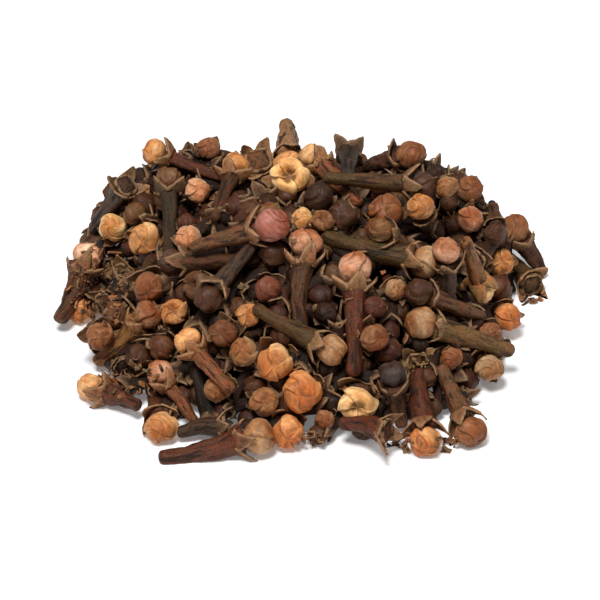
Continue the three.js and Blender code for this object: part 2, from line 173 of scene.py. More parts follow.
NEAR_SIDE = [
    (ACROSS, -19.5, 20.8, -9.0, 16.8, 0.75, HONEY, RUSSET),
    (OUT, -12.5, 21.3, -11.5, 18.5, 0.7, RUST, BARK),
    (ACROSS, -9.0, 19.0, -11.5, 11.7, 0.8, HONEY, BARK),
    (OPEN_OUT, -6.0, 20.5, -6.5, 16.0, 0.95, BLUSH, TAWNY),
    (ACROSS, -2.0, 19.0, -2.5, 25.0, 0.95, HONEY, ASH),
    (ACROSS, 1.0, 20.3, 7.0, 13.8, 0.85, HONEY, FAWN),
    (FORKED, 5.7, 21.3, 5.3, 16.5, 0.85, TAWNY, SOOT),
    (ACROSS, 13.8, 20.5, 7.8, 18.7, 0.9, RUST, BARK),
    (OUT, 21.5, 16.0, 19.0, 14.5, 0.85, RUST, BARK),
    (ACROSS, 15.5, 16.5, 2.5, 17.5, 0.85, UMBER, OLIVE),
    (OUT, 18.5, 16.3, 16.5, 17.0, 0.65, TAN, BARK),
    (PARTED_OUT, -2.0, 17.5, -0.5, 15.0, 1.1, STRAW, RUSSET),
    (OUT, -14.0, 15.8, -16.0, 13.5, 0.75, BLUSH, BARK),
    (OUT, 15.0, 13.7, 16.0, 10.0, 0.8, HONEY, OLIVE),
    (OUT, 10.5, 13.2, 12.7, 10.4, 0.95, RUST, BARK),
    (OUT, 4.8, 12.5, 7.0, 10.7, 0.8, UMBER, SLATE),
    (OUT, 21.5, 12.0, 19.0, 10.0, 0.8, ROSE, BARK),
    (OPEN_ACROSS, -22.6, 17.4, -28.2, 11.0, 0.85, TAWNY, SLATE),
    (OUT, -25.0, 11.0, -22.7, 8.7, 0.85, GOLD, BARK),
    (OUT, -20.8, 9.4, -19.0, 13.5, 0.95, HONEY, BARK),
    (OUT, -15.2, 9.6, -13.7, 7.0, 0.75, BLUSH, RUSSET),
    (ACROSS, -17.3, 6.5, -8.0, 6.5, 0.8, UMBER, BARK),
    (OPEN_OUT, -24.5, 4.8, -22.0, 3.5, 0.75, GOLD, OLIVE),
    (OPEN_OUT, -26.7, 0.7, -24.0, -0.4, 0.75, SOOT, BARK),
    (ACROSS, -12.6, 1.8, -7.0, 8.7, 0.8, UMBER, SLATE),
    (ACROSS, -4.3, 11.3, -14.5, 8.5, 0.95, CLARET, TAWNY),
    (OUT, -0.3, 12.0, -0.3, 9.5, 0.65, GOLD, OLIVE),
    (ACROSS, 15.5, 6.5, 2.6, 9.9, 0.9, TAN, OLIVE),
    (ACROSS, 18.3, 8.0, 19.2, 1.2, 0.85, ROSE, SLATE),
    (ACROSS, 23.0, 2.9, 20.5, 9.0, 0.8, GOLD, TAN),
    (OUT, 25.4, 6.5, 25.0, 3.5, 0.85, HONEY, BARK),
    (ACROSS, 27.3, 10.8, 31.2, 4.8, 0.85, RUST, BARK),
    (OPEN_OUT, 30.3, 2.7, 26.0, 4.5, 0.9, HONEY, OLIVE),
    (ACROSS, 0.0, 9.0, -0.3, -1.7, 0.95, ROSE, BARK),
    (OUT, -4.8, 2.9, -4.3, 6.0, 0.8, MAHOGANY, BARK),
    (OUT, -7.4, -0.4, -5.6, -1.7, 0.7, HONEY, BARK),
    (ACROSS, 6.5, 5.7, 6.2, -7.8, 0.95, ROSE, RUSSET),
    (OUT, 11.8, 2.9, 10.4, 5.5, 0.6, TAN, RUSSET),
    (ACROSS, 14.7, 2.6, 23.3, -0.4, 0.8, UMBER, TAWNY),
    (OUT, 26.3, -0.6, 22.8, 0.5, 0.8, AMBER, BARK),
    (OUT, 24.0, -2.9, 21.5, -2.6, 0.75, RUST, TAWNY),
    (ACROSS, 15.0, -1.4, 27.0, -5.0, 0.9, TAN, MOSS),
    (ACROSS, -20.4, -0.3, -27.3, -6.5, 0.85, RUST, TAN),
    (PARTED_OUT, -17.0, 0.0, -15.6, -2.3, 0.8, HONEY, RUSSET),
    (OUT, -29.3, 0.1, -26.0, 1.0, 0.75, HONEY, BARK),
    (ACROSS, -28.3, 7.2, -31.7, -1.2, 0.9, BLUSH, BARK),
    (ACROSS, -27.7, -9.8, -21.5, -12.0, 0.85, HONEY, RUSSET),
    (OUT, -18.7, -15.0, -20.2, -11.4, 0.9, HONEY, BARK),
    (ACROSS, -18.9, -7.9, -14.0, -15.0, 0.75, ROSE, FAWN),
    (OUT, -11.3, -9.9, -9.0, -11.4, 0.85, TAN, OLIVE),
    (ACROSS, -15.2, -3.8, -9.5, -9.9, 0.75, AMBER, FAWN),
    (OUT, -8.0, -5.2, -7.2, -7.8, 0.85, TAN, BARK),
    (OUT, -3.9, -6.6, -3.0, -3.4, 1.05, HONEY, BARK),
    (OUT, -0.4, -10.4, 1.7, -7.8, 1.05, AMBER, BARK),
    (OUT, -5.3, -11.7, -5.6, -14.7, 0.8, TAN, OLIVE),
    (ACROSS, 3.4, -5.0, -6.2, 0.4, 0.85, TAN, OLIVE),
    (PARTED_OUT, 6.8, -12.0, 6.8, -8.8, 1.1, GOLD, BARK),
    (OUT, -2.2, -15.6, -2.0, -12.7, 0.9, AMBER, BARK),
    (OUT, 2.6, -14.0, 3.3, -11.4, 0.55, RUST, BARK),
    (ACROSS, 11.3, -8.0, 12.6, -14.7, 0.8, SOOT, BARK),
    (OPEN_OUT, 15.2, -6.9, 12.4, -8.8, 0.85, STRAW, BARK),
    (OUT, 24.0, -7.3, 20.5, -8.8, 0.85, TAN, BARK),
    (OUT, 19.0, -6.0, 17.5, -4.0, 0.65, RUST, BARK),
    (ACROSS, 15.6, -16.8, 15.0, -8.2, 0.9, AMBER, RUSSET),
    (ACROSS, 21.5, -15.6, 18.0, -7.5, 0.9, RUST, TAWNY),
    (OPEN_ACROSS, 12.3, -15.7, 5.0, -14.7, 0.85, RUST, RUSSET),
    (OPEN_ACROSS, -8.8, -14.6, -16.2, -15.8, 0.75, UMBER, SLATE),
    (ACROSS, -6.0, -16.2, -18.3, -18.8, 0.95, TAN, RUSSET),
]
print(len(NEAR_SIDE), "cloves in the table of the near side")

# %% [markdown]
# ## How a clove finds its place
#
# A clove could be dropped by a physics engine, but then it would lie where chance puts it, and not
# where this heap has it. Instead each clove is sent in along the viewer's line of sight until it
# touches something. Touch is felt by balls strung along the clove, its feelers: where two balls
# meet is a square root, so thousands of tries take seconds. The numbers repeat the CAD part's.

# %% What is touched: the core's mounds and the feelers of cloves that lie already
BALL_FEELER = 2.1
FIRST_FEELER = {"back": 2.2, "radius": 1.35}
LAST_FEELER = {"back": 12.6, "radius": 0.8}
STEM_FEELERS = 11
BITE = 0.2

# Each mound: its centre on the surface, the half-widths of its foot, and its height.
MOUNDS = [
    ((0, -2), (27, 26), 18),
    ((-14, 12), (16, 15), 15.5),
    ((14, 11), (16, 15), 14.5),
    ((-15, -12), (12, 12), 7),
    ((14, -12), (11, 12), 7),
]

VIEW_ELEVATION = math.radians(36)
VIEW_DISTANCE = 420.0
CREST_LINE = 17.0
START = 80.0
RIGHT = np.array([1.0, 0.0, 0.0])
RISE = np.array([0.0, math.sin(VIEW_ELEVATION), math.cos(VIEW_ELEVATION)])
AWAY = np.array([0.0, math.cos(VIEW_ELEVATION), -math.sin(VIEW_ELEVATION)])
DOWN = np.array([0.0, 0.0, -1.0])
EYE = -VIEW_DISTANCE * AWAY


def unit(vector):
    return vector / np.linalg.norm(vector)


def seen_at(right, up):
    return RIGHT * right + RISE * up


def new_clove(head, axis, size, length, ball, **more):
    return {"head": head, "axis": axis, "size": size, "length": length, "ball": ball, **more}


def feelers_of(clove):
    """The centres and radii of the balls strung along a clove."""
    share = np.linspace(0, 1, STEM_FEELERS)
    back = mix(FIRST_FEELER["back"], LAST_FEELER["back"], share) * clove["length"] / STEM_LENGTH
    at = clove["head"] - back[:, None] * clove["axis"]
    radii = mix(FIRST_FEELER["radius"], LAST_FEELER["radius"], share) * clove["size"]
    if clove["ball"]:
        at = np.vstack([clove["head"], at])
        radii = np.concatenate([[BALL_FEELER * clove["size"]], radii])
    return at, radii


print(len(MOUNDS), "mounds, and", STEM_FEELERS + 1, "feelers along a clove that holds its ball")

# %% How far feelers go until they touch


def reach_of_balls(at, radii, others_at, others_radii, direction):
    """The shortest way of any ball in a direction until it meets one of the others."""
    between = others_at[None, :, :] - at[:, None, :]
    ahead = between @ direction
    touch = radii[:, None] + others_radii[None, :]
    bite = touch**2 - ((between**2).sum(2) - ahead**2)
    meets = (bite > 0) & (ahead > 0)
    if not meets.any():
        return math.inf
    return (ahead[meets] - np.sqrt(bite[meets])).min()


def reach_of_mound(at, radii, mound, direction):
    """The same for a mound, grown by each ball's radius."""
    (x, y), (half_x, half_y), height = mound
    grown = np.array([half_x, half_y, height]) + radii[:, None]
    start = (at - np.array([x, y, 0])) / grown
    step = direction / grown
    a = step[:, 0] ** 2 + step[:, 1] ** 2
    b = 2 * (start[:, 0] * step[:, 0] + start[:, 1] * step[:, 1]) + step[:, 2]
    c = start[:, 0] ** 2 + start[:, 1] ** 2 + start[:, 2] - 1
    root = b * b - 4 * a * c
    meets = (root > 0) & (b < 0)
    if not meets.any():
        return math.inf
    return (2 * c[meets] / (np.sqrt(root[meets]) - b[meets])).min()


# %% The heap so far, and how far feelers go in it


class Heap:
    """The cloves laid so far, and their feelers in two plain arrays."""

    def __init__(self):
        self.cloves = []
        self.at = np.zeros((0, 3))
        self.radii = np.zeros(0)

    def add(self, clove):
        at, radii = feelers_of(clove)
        self.cloves.append(clove)
        self.at = np.vstack([self.at, at])
        self.radii = np.concatenate([self.radii, radii])


heap = Heap()


def reach(feelers, direction, among_cloves=True):
    """How far feelers go until the first of them meets the surface, the core or a clove."""
    at, radii = feelers
    least = math.inf
    if direction[2] < 0:
        least = ((radii - at[:, 2]) / direction[2]).min()
    least = min([least] + [reach_of_mound(at, radii, mound, direction) for mound in MOUNDS])
    if among_cloves and len(heap.at):
        least = min(least, reach_of_balls(at, radii, heap.at, heap.radii, direction))
    return least


def ball_at(radius):
    """The feelers of a single ball, for any place."""
    return lambda at: (at[None, :], np.array([radius]))


def clove_at(clove):
    """The same for a whole clove."""
    return lambda at: feelers_of({**clove, "head": at})


def lay(clove):
    clove["turn"] = lie_draw(0, math.pi / 2)
    heap.add(clove)


# %% Laying the near side, along the line of sight


def send_in(target, feelers_at):
    """Where feelers stop that are sent in through a point, and whether they missed everything."""
    sight = unit(target - EYE)
    start = target - sight * START
    before_crest = (CREST_LINE - start[1]) / sight[1]
    far = reach(feelers_at(start), sight) + BITE
    return start + sight * min(far, before_crest), far > before_crest


def let_fall(at, feelers_at):
    return at + DOWN * (reach(feelers_at(at), DOWN) + BITE)


# %% The two ways to lie


def lay_out(head, axis, size, ball, tones):
    """A head that looks out, with its stem buried and its tail above the surface."""
    length = STEM_LENGTH * size
    tail = head - axis * length
    tail[2] = max(tail[2], TAIL["radius"] * size)
    lay(new_clove(head, unit(head - tail), size, length, ball, tones=tones))


def keep_way(way):
    """What a row says beyond the clove's place: parted petals, or how it is turned about its stem."""
    heap.cloves[-1].update({key: way[key] for key in ("parted", "turn") if key in way}, chosen=True)


def lay_out_in_sight(way, head_right, head_up, tail_right, tail_up, size, *tones):
    lean = seen_at(head_right - tail_right, head_up - tail_up)
    depth = math.sqrt((STEM_LENGTH * size) ** 2 - lean @ lean)
    head, missed = send_in(seen_at(head_right, head_up), ball_at(BALL_FEELER * size))
    if missed:
        head = let_fall(head, ball_at(BALL_FEELER * size))
    lay_out(head, unit(lean - AWAY * depth), size, way["ball"], tones)
    keep_way(way)


def lay_across_in_sight(way, head_right, head_up, tail_right, tail_up, size, *tones):
    """A clove across the others: its ends come to rest apart, which tilts it, then the whole does."""
    target = seen_at(head_right, head_up)
    head_rest, _ = send_in(target, ball_at(BALL_FEELER * size))
    tail_rest, _ = send_in(seen_at(tail_right, tail_up), ball_at(LAST_FEELER["radius"] * size))
    lean = seen_at(head_right - tail_right, head_up - tail_up)
    deeper = (tail_rest - head_rest) @ AWAY
    natural = STEM_LENGTH * size
    apart = math.hypot(np.linalg.norm(lean), deeper)
    length = min(max(apart, natural * SHORTEST), natural * LONGEST)
    depth = math.sqrt(max(0, length**2 - lean @ lean)) * np.sign(deeper)
    clove = new_clove(target, unit(lean - AWAY * depth), size, length, way["ball"], tones=tones)
    clove["head"], missed = send_in(target, clove_at(clove))
    if missed:
        clove["head"] = let_fall(clove["head"], clove_at(clove))
    lay(clove)
    keep_way(way)


# %% The near side, laid
for row in NEAR_SIDE:
    (lay_across_in_sight if row[0]["across"] else lay_out_in_sight)(*row)
near_feelers = (heap.at.copy(), heap.radii.copy())
print("near side laid,", len(heap.at), "feelers")

# %% [markdown]
# ## The core's surface
#
# The mounds say how high the heap's core stands over each point of the surface, and the slope there
# says which way is straight out of it. That tells a near spot from a far one, and a proud clove
# from a buried one.

# %% Height and direction of the core
SLOPE_STEP = 0.5


def core_heights(at, share=1.0):
    """How high the mounds stand at points, below 0 off their feet."""
    rises = [
        height * (1 - ((at[:, 0] - x) / half_x) ** 2 - ((at[:, 1] - y) / half_y) ** 2)
        for (x, y), (half_x, half_y), height in MOUNDS
    ]
    return share * np.max(rises, axis=0)


def core_outward(x, y):
    """The direction straight out of the core over a point of the surface."""
    step = SLOPE_STEP
    around = np.array([[x - step, y], [x + step, y], [x, y - step], [x, y + step]])
    west, east, south, north = core_heights(around)
    return unit(np.array([west - east, south - north, 2 * step]))


print("the core is", core_heights(np.zeros((1, 2)))[0], "mm high in its middle")

# %% [markdown]
# ## The far side
#
# The rest follows the CAD part's rule: cloves go down on the spots of a sunflower spiral, each the
# lowest of several tries. A spot stays empty where a clove would hide one of the near side or stick
# out of the heap's outline, which is a rounded box as the viewer sees it.

# %% The rule's numbers and its spots
FOOT = {"x": -0.5, "y": 4.0, "rx": 29.0, "ry": 28.0}
OUTLINE = {"right": -2.0, "up": 1.0, "width": 30.5, "height": 20.8, "power": 3}
TRIES = 12
SCATTER = 2.5
LYING = {"spots": 105, "highest": 4.5, "smallest": 0.75, "largest": 1.0, "open_share": 0.15}
PEEPING = {"spots": 85, "highest": 2.3, "smallest": 0.6, "largest": 0.9, "lean": 4.0}
SEEN_APART = 0.75
GOLDEN_ANGLE = math.pi * (3 - math.sqrt(5))


def sunflower(spots, x, y, half_x, half_y):
    """Spots spread evenly over an oval, from its middle outwards."""
    for spot in range(spots):
        angle = spot * GOLDEN_ANGLE
        out = math.sqrt((spot + 0.5) / spots)
        yield x + half_x * out * math.cos(angle), y + half_y * out * math.sin(angle)


def above(x, y, draw):
    """A start high over a point, a little beside it."""
    return np.array([x + draw(-SCATTER, SCATTER), y + draw(-SCATTER, SCATTER), START])


# %% Where no clove may lie


def sticks_out(feelers, limit=1.0):
    at, radii = feelers
    right = (np.abs(at @ RIGHT - OUTLINE["right"]) + radii) / OUTLINE["width"]
    up = (np.abs(at @ RISE - OUTLINE["up"]) + radii) / OUTLINE["height"]
    return (right ** OUTLINE["power"] + up ** OUTLINE["power"] > limit).any()


def is_in_the_way(feelers):
    at, radii = feelers
    if sticks_out(feelers):
        return True
    between = near_feelers[0][None, :, :] - at[:, None, :]
    behind = between @ AWAY
    apart = (near_feelers[1][None, :] + radii[:, None]) * SEEN_APART
    return ((behind > 0) & ((between**2).sum(2) - behind**2 < apart**2)).any()


def raised_by(feelers):
    """How high a clove is held above the core, where it is held highest."""
    if is_in_the_way(feelers):
        return math.inf
    at, radii = feelers
    return max(reach((at[i : i + 1], radii[i : i + 1]), DOWN, False) for i in range(len(radii)))


# %% One try of each kind, and the lowest of several


def let_down(x, y):
    """One try of a clove that lies."""
    size = lie_draw(LYING["smallest"], LYING["largest"])
    heading = lie_draw(0, 2 * math.pi)
    length = STEM_LENGTH * size * lie_draw(SHORTEST, LONGEST)
    ball = lie_draw(0, 1) > LYING["open_share"]
    middle = above(x, y, lie_draw)
    level = np.array([math.cos(heading), math.sin(heading), 0])
    head_fall = reach(ball_at(BALL_FEELER * size)(middle + level * length / 2), DOWN)
    tail_fall = reach(ball_at(LAST_FEELER["radius"] * size)(middle - level * length / 2), DOWN)
    axis = unit(level * length + DOWN * (head_fall - tail_fall))
    clove = new_clove(middle + axis * length / 2, axis, size, length, ball)
    clove["head"] = let_fall(clove["head"], clove_at(clove))
    clove["raised"] = raised_by(feelers_of(clove))
    return clove


def peep_out(x, y):
    """One try of a head that looks out."""
    size = lie_draw(PEEPING["smallest"], PEEPING["largest"])
    ball = ball_at(BALL_FEELER * size)
    head = let_fall(above(x, y, lie_draw), ball)
    return {"head": head, "size": size, "raised": raised_by(ball(head))}


def lowest_of_tries(kind, trial):
    """For each spot of the spiral, the lowest of several tries."""
    for x, y in sunflower(kind["spots"], *FOOT.values()):
        yield min([trial(x, y) for _ in range(TRIES)], key=lambda clove: clove["raised"])


# %% The rule at work
for clove in lowest_of_tries(LYING, let_down):
    if clove["raised"] < LYING["highest"]:
        # Painted shade: balls on the side that faces the viewer take the darker tones.
        in_view = core_outward(*clove["head"][:2]) @ AWAY < 0
        clove["tones"] = (pick(SHADED_BETWEEN_TONES if in_view else FAR_TONES), pick(STEM_TONES))
        lay(clove)

for peep in lowest_of_tries(PEEPING, peep_out):
    lean_x = lie_draw(-PEEPING["lean"], PEEPING["lean"])
    lean_y = lie_draw(-PEEPING["lean"], PEEPING["lean"])
    if peep["raised"] < PEEPING["highest"]:
        outward = unit(peep["head"] + np.array([lean_x, lean_y, 0]))
        lay_out(peep["head"], outward, peep["size"], True, (pick(SHADED_BETWEEN_TONES), pick(STEM_TONES)))

laid_as_in_cad = len(heap.cloves)
print(laid_as_in_cad, "cloves lie as in the CAD part")

# %% [markdown]
# ## The gaps
#
# Between the cloves on top one sees others, down to the dark. The spiral runs over the core once
# more, closer. Where a spot is still bare, a clove is put through it, half sunk into the core and
# lifted clear of the floor, and of several tries the one that keeps the most room stays.

# %% A clove for a gap
GAPS = {"spots": 1400, "reach": 1.16, "tries": 16, "bare": 0.35}
GAP_LIMITS = {"overlap": 1.0, "proud": 0.7, "outline": 1.03}
NEAR_GAPS = {"foot": 0.0, "lowest": 1.0}
FAR_GAPS = {"foot": -1.5, "lowest": 0.2}
GAP_CLOVE = {"smallest": 0.55, "largest": 0.95, "peeping_share": 0.05, "sunk": (0.2, 1.6)}
PEEPING_SPREAD = 0.6
LYING_SPREAD = 0.3


def look_vector(low, high):
    return np.array([look_draw(low, high) for _ in range(3)])


def gap_clove(spot, outward, side):
    """A clove through a bare spot, and its room to the others, or none where it doesn't fit."""
    size = look_draw(GAP_CLOVE["smallest"], GAP_CLOVE["largest"])
    length = STEM_LENGTH * size * look_draw(SHORTEST, 1)
    chance = unit(look_vector(-1, 1))
    peeping = look_draw(0, 1) < GAP_CLOVE["peeping_share"]
    lying = unit(np.cross(outward, chance) + LYING_SPREAD * chance)
    axis = unit(outward + PEEPING_SPREAD * chance) if peeping else lying
    back = 0 if peeping else look_draw(0, length)
    head = spot + axis * back - outward * look_draw(*GAP_CLOVE["sunk"]) * size
    clove = new_clove(head, axis, size, length, look_draw(0, 1) > LYING["open_share"])
    at, radii = feelers_of(clove)
    lift = -DOWN * max(0, (radii - at[:, 2]).max())
    clove["head"], at = head + lift, at + lift
    heights = core_heights(at)
    fits = (heights > side["foot"]).all() and not sticks_out((at, radii), GAP_LIMITS["outline"])
    fits = fits and ((at[:, 2] - np.maximum(heights, radii)) * outward[2] < GAP_LIMITS["proud"]).all()
    apart = np.linalg.norm(heap.at[None] - at[:, None], axis=2)
    room = (apart - heap.radii[None] - radii[:, None]).min()
    return clove, room if fits and room > -GAP_LIMITS["overlap"] else -math.inf


# %% Filling the gaps


def fill_gaps():
    half_x, half_y = FOOT["rx"] * GAPS["reach"], FOOT["ry"] * GAPS["reach"]
    for x, y in sunflower(GAPS["spots"], FOOT["x"], 0, half_x, half_y):
        spot = np.array([x, y, core_heights(np.array([[x, y]]))[0]])
        bare = (np.linalg.norm(heap.at - spot, axis=1) - heap.radii).min() > GAPS["bare"]
        outward = core_outward(x, y)
        side = NEAR_GAPS if outward @ AWAY < 0 else FAR_GAPS
        if spot[2] < side["lowest"] or not bare:
            continue
        tries = [gap_clove(spot, outward, side) for _ in range(GAPS["tries"])]
        clove, room = max(tries, key=lambda pair: pair[1])
        if room > -math.inf:
            clove["tones"] = (pick(SHADED_BETWEEN_TONES), pick(STEM_TONES))
            clove["turn"] = look_draw(0, math.pi / 2)
            heap.add(clove)


fill_gaps()
print(len(heap.cloves) - laid_as_in_cad, "more cloves lie in the gaps")

# %% [markdown]
# ## Parts of a bud
#
# A bud is put together from a stem, four sepals and a ball or an open cup. Each vertex keeps where
# it was in the straight clove, as "grain", for the materials, and how far it is a rim (1) or a
# crease (-1), as "edge": rims are paler, and creases are painted darker as shade. Each face keeps
# its kind, which later picks its material.

# %% Layers that every part of a bud carries
STEM, SEPAL, PETAL, HOLLOW = range(4)
MERGE_WITHIN = 1e-4


def new_part():
    part = bmesh.new()
    part.verts.layers.float_vector.new("grain")
    part.verts.layers.float.new("edge")
    return part


def finish_part(part, kind):
    """Merges, turns the faces outwards, and notes the grain and the kind."""
    bmesh.ops.remove_doubles(part, verts=part.verts, dist=MERGE_WITHIN)
    bmesh.ops.recalc_face_normals(part, faces=part.faces)
    grain = part.verts.layers.float_vector["grain"]
    for vert in part.verts:
        vert[grain] = vert.co
    for face in part.faces:
        face.material_index = kind
        face.smooth = True
    return part


def mesh_from(name, form):
    mesh = bpy.data.meshes.new(name)
    form.to_mesh(mesh)
    form.free()
    return mesh


def add_part(whole, part):
    mesh = mesh_from("part", part)
    whole.from_mesh(mesh)
    bpy.data.meshes.remove(mesh)


def noise_at(x, y, z):
    return noise.noise(Vector((x, y, z)))


def spin_profile(profile, sides, kind):
    """A part turned from a profile of radii and of distances behind the middle of the ball."""
    part = new_part()
    outline = [part.verts.new((radius, 0, -back)) for radius, back in profile]
    edges = [part.edges.new(pair) for pair in zip(outline, outline[1:])]
    whole_turn = {"cent": (0, 0, 0), "axis": (0, 0, 1), "angle": 2 * math.pi, "use_merge": True}
    bmesh.ops.spin(part, geom=outline + edges, steps=sides, **whole_turn)
    return finish_part(part, kind)


# %% [markdown]
# ## The stem
#
# The stem is a turned form: a profile of a few vertices, spun round the clove's axis. Drying then
# pulls it out of round. Its sides fall in between four ridges, it bends a little, and fine folds
# run along it. Those are small moves of the spun vertices, because an operator has no word for
# them. The cloves in the gaps are seen so little that theirs are plainer.

# %% The stem's numbers
BALL_STEPS = (0.0, 0.035, 0.15, 0.3, 0.46, 0.62, 0.78, 0.91)
PLAIN_STEPS = (0.0, 0.06, 0.35, 0.7)
FINE = {"sides": 16, "rings": 26, "sepal": (6, 7), "petal_steps": BALL_STEPS, "ball_rings": 18}
PLAIN = {"sides": 10, "rings": 9, "sepal": (2, 4), "petal_steps": PLAIN_STEPS, "ball_rings": 9}
TAIL_SHARES = (0, 0.08, 0.3, 0.6)
ROUNDED_END = 0.7
CALYX_RADIUS = 1.75
CALYX_BACK = 2.1
CALYX_INSIDE = 0.5
RIDGES = 4
SQUARE = {"by": 0.1, "from_tail": 2.0}
FOLDS = {"by": 0.16, "across": 0.9, "along": 0.3}
CREASES = {"by": 0.1, "across": 1.1, "along": 0.22, "width": 0.16}
FINE_FOLDS = {"by": 0.07, "across": 2.6, "along": 1.1}
SWELLS = {"by": 0.14, "along": 0.35}
SLENDER = 0.1
BEND = {"back": 8.2, "half": 5.5, "by": 0.6}
TAIL_EDGE = {"reach": 0.35, "pale": 0.7}
STEM_CREASE_SHADE = 0.5


# %% The stem


def stem_radius(back):
    """Tapering from the calyx to the tail, with a waist where the calyx begins."""
    share = (TAIL["back"] - back) / (TAIL["back"] - SHOULDER["back"])
    radius = mix(TAIL["radius"], SHOULDER["radius"], min(share, 1) ** 1.5)
    radius += (CALYX_RADIUS - SHOULDER["radius"]) * smooth_share(-back, -SHOULDER["back"], -CALYX_BACK)
    end = min(1.0, (TAIL["back"] - back) / ROUNDED_END)
    return radius * math.sqrt(max(0.0, 1 - (1 - end) ** 2)) if end < 1 else radius


print("a stem is", round(2 * stem_radius(SHOULDER["back"]), 1), "mm thick at its shoulder")


def wrinkle(kind, x, y, back, shift):
    """Noise that varies across and along the stem as often as its kind says."""
    return noise_at(x * kind["across"], y * kind["across"], back * kind["along"] + shift)


def make_stem(seed, fineness):
    backs = [TAIL["back"] - ROUNDED_END * share for share in TAIL_SHARES]
    backs += list(np.linspace(TAIL["back"] - ROUNDED_END, CALYX_BACK, fineness["rings"]))
    profile = [(stem_radius(back), back) for back in backs]
    part = spin_profile(profile + [(0, CALYX_BACK - CALYX_INSIDE)], fineness["sides"], STEM)
    edge = part.verts.layers.float["edge"]
    lean = Vector((math.cos(seed), math.sin(seed), 0)) * BEND["by"] * math.sin(seed * 3)
    slender = 1 + SLENDER * math.sin(seed * 7)
    for vert in part.verts:
        x, y, back = vert.co.x, vert.co.y, -vert.co.z
        round_off = smooth_share(-back, -TAIL["back"], -TAIL["back"] + SQUARE["from_tail"])
        square = SQUARE["by"] * math.cos(RIDGES * math.atan2(y, x)) * round_off
        folds = FOLDS["by"] * wrinkle(FOLDS, x, y, back, seed * 7)
        crease = max(0.0, 1 - abs(wrinkle(CREASES, x, y, back, seed * 3)) / CREASES["width"])
        fine = FINE_FOLDS["by"] * wrinkle(FINE_FOLDS, x, y, back, seed * 3)
        swell = SWELLS["by"] * noise_at(seed * 5, 0, back * SWELLS["along"])
        vert.co.xy *= slender * (1 + square + folds - CREASES["by"] * crease + fine + swell)
        tail_end = smooth_share(back, TAIL["back"] - TAIL_EDGE["reach"], TAIL["back"])
        # Painted shade: the stem's creases are darkened through the edge value.
        vert[edge] = TAIL_EDGE["pale"] * tail_end - STEM_CREASE_SHADE * crease
        vert.co += lean * max(0, 1 - ((back - BEND["back"]) / BEND["half"]) ** 2)
    return part


# %% [markdown]
# ## Sepals
#
# Each sepal is a small leathery triangle: a grid narrowed to a tip, bent along a curve from the
# calyx outwards, and given its thickness with solidify. Its margin and tip dry paler than the rest,
# which the edge value passes on to the material.

# %% A sepal
SEPAL_WIDTH = 2.9
SEPAL_FOOT = {"back": 3.4, "radius": 1.35}
SEPAL_BELLY = {"back": 2.2, "radius": 2.65}
SEPAL_THICKNESS = 0.42
SEPAL_NARROWS = 0.93
SEPAL_HOLLOW = 0.3
RIPPLE = {"out": 0.3, "wide": 0.25, "high": 0.25}
PALENESS = {"all": 0.12, "margin": 0.6, "tip": 0.4, "inside": 0.3}


def make_sepal(turn, spread, lift, fineness):
    part = new_part()
    across_steps, along_steps = fineness["sepal"]
    bmesh.ops.create_grid(part, x_segments=across_steps, y_segments=along_steps, size=0.5)
    edge = part.verts.layers.float["edge"]
    tip_radius = SEPAL_TIP["radius"] * spread
    tip_height = -SEPAL_TIP["back"] + lift
    for vert in part.verts:
        along = vert.co.y + 0.5
        across = math.copysign(math.sqrt(abs(vert.co.x * 2)), vert.co.x)
        half = 0.5 * SEPAL_WIDTH * (1 - SEPAL_NARROWS * along**1.4)
        foot, belly, tip = (1 - along) ** 2, 2 * along * (1 - along), along**2
        radius = foot * SEPAL_FOOT["radius"] + belly * SEPAL_BELLY["radius"] + tip * tip_radius
        radius -= SEPAL_HOLLOW * (across * half) ** 2
        height = -foot * SEPAL_FOOT["back"] - belly * SEPAL_BELLY["back"] + tip * tip_height
        ripple = noise_at(across * 1.3, along * 3, turn * 9 + lift * 5)
        vert.co.x = radius + RIPPLE["out"] * ripple
        vert.co.y = half * across * (1 + RIPPLE["wide"] * ripple)
        vert.co.z = height + RIPPLE["high"] * ripple
        paler = PALENESS["margin"] * abs(across) ** 4
        vert[edge] = min(1.0, PALENESS["all"] + paler + PALENESS["tip"] * along**3)
    outer = set(part.verts)
    bmesh.ops.solidify(part, geom=part.faces[:], thickness=-SEPAL_THICKNESS)
    for vert in part.verts:
        if vert not in outer:
            vert[edge] += PALENESS["inside"]
    finish_part(part, SEPAL)
    bmesh.ops.rotate(part, verts=part.verts, cent=(0, 0, 0), matrix=Matrix.Rotation(turn, 3, "Z"))
    return part


# %% [markdown]
# ## The ball of petals
#
# Four petals wrap over each other like the flaps of a box. One closed sphere can show that: its
# meridians are gathered in four groups, and in each group the radius grows slowly and then drops
# in one narrow step, which is the free edge of a petal lying on the next. A swirl towards the top
# makes the edges curve and meet as they do on the bud.

# %% The ball
PETALS = 4
UNEVEN = 0.2
DENTS = {"all": 0.16, "small": 0.35}
TOP_DIMPLE = 0.05

# On a ball of radius 1, limits of height from its foot (-1) to its top (1), and of distance from its
# axis: where the petals' edges begin and where they meet, the swirl, the crown, the flank that is
# painted paler, partly as sheen, and the foot that is painted in shade.
EDGES_BEGIN = (-0.75, -0.1)
EDGES_MEET = (0.02, 0.3)
SWIRL_FROM = -0.2
CROWN_ENDS = (0.22, 0.6)
FLANK_AND_SHEEN = (0.55, 0.95)
SHADED_FOOT = (0.1, 0.8)

# How pale a petal's rim and flank are, the flank partly as a painted sheen, and how dark the
# painted shade is at its foot and in the opened crown.
PETAL_EDGE = {"rim": 0.75, "flank": 0.5, "foot": 0.5, "crown": 1.4}


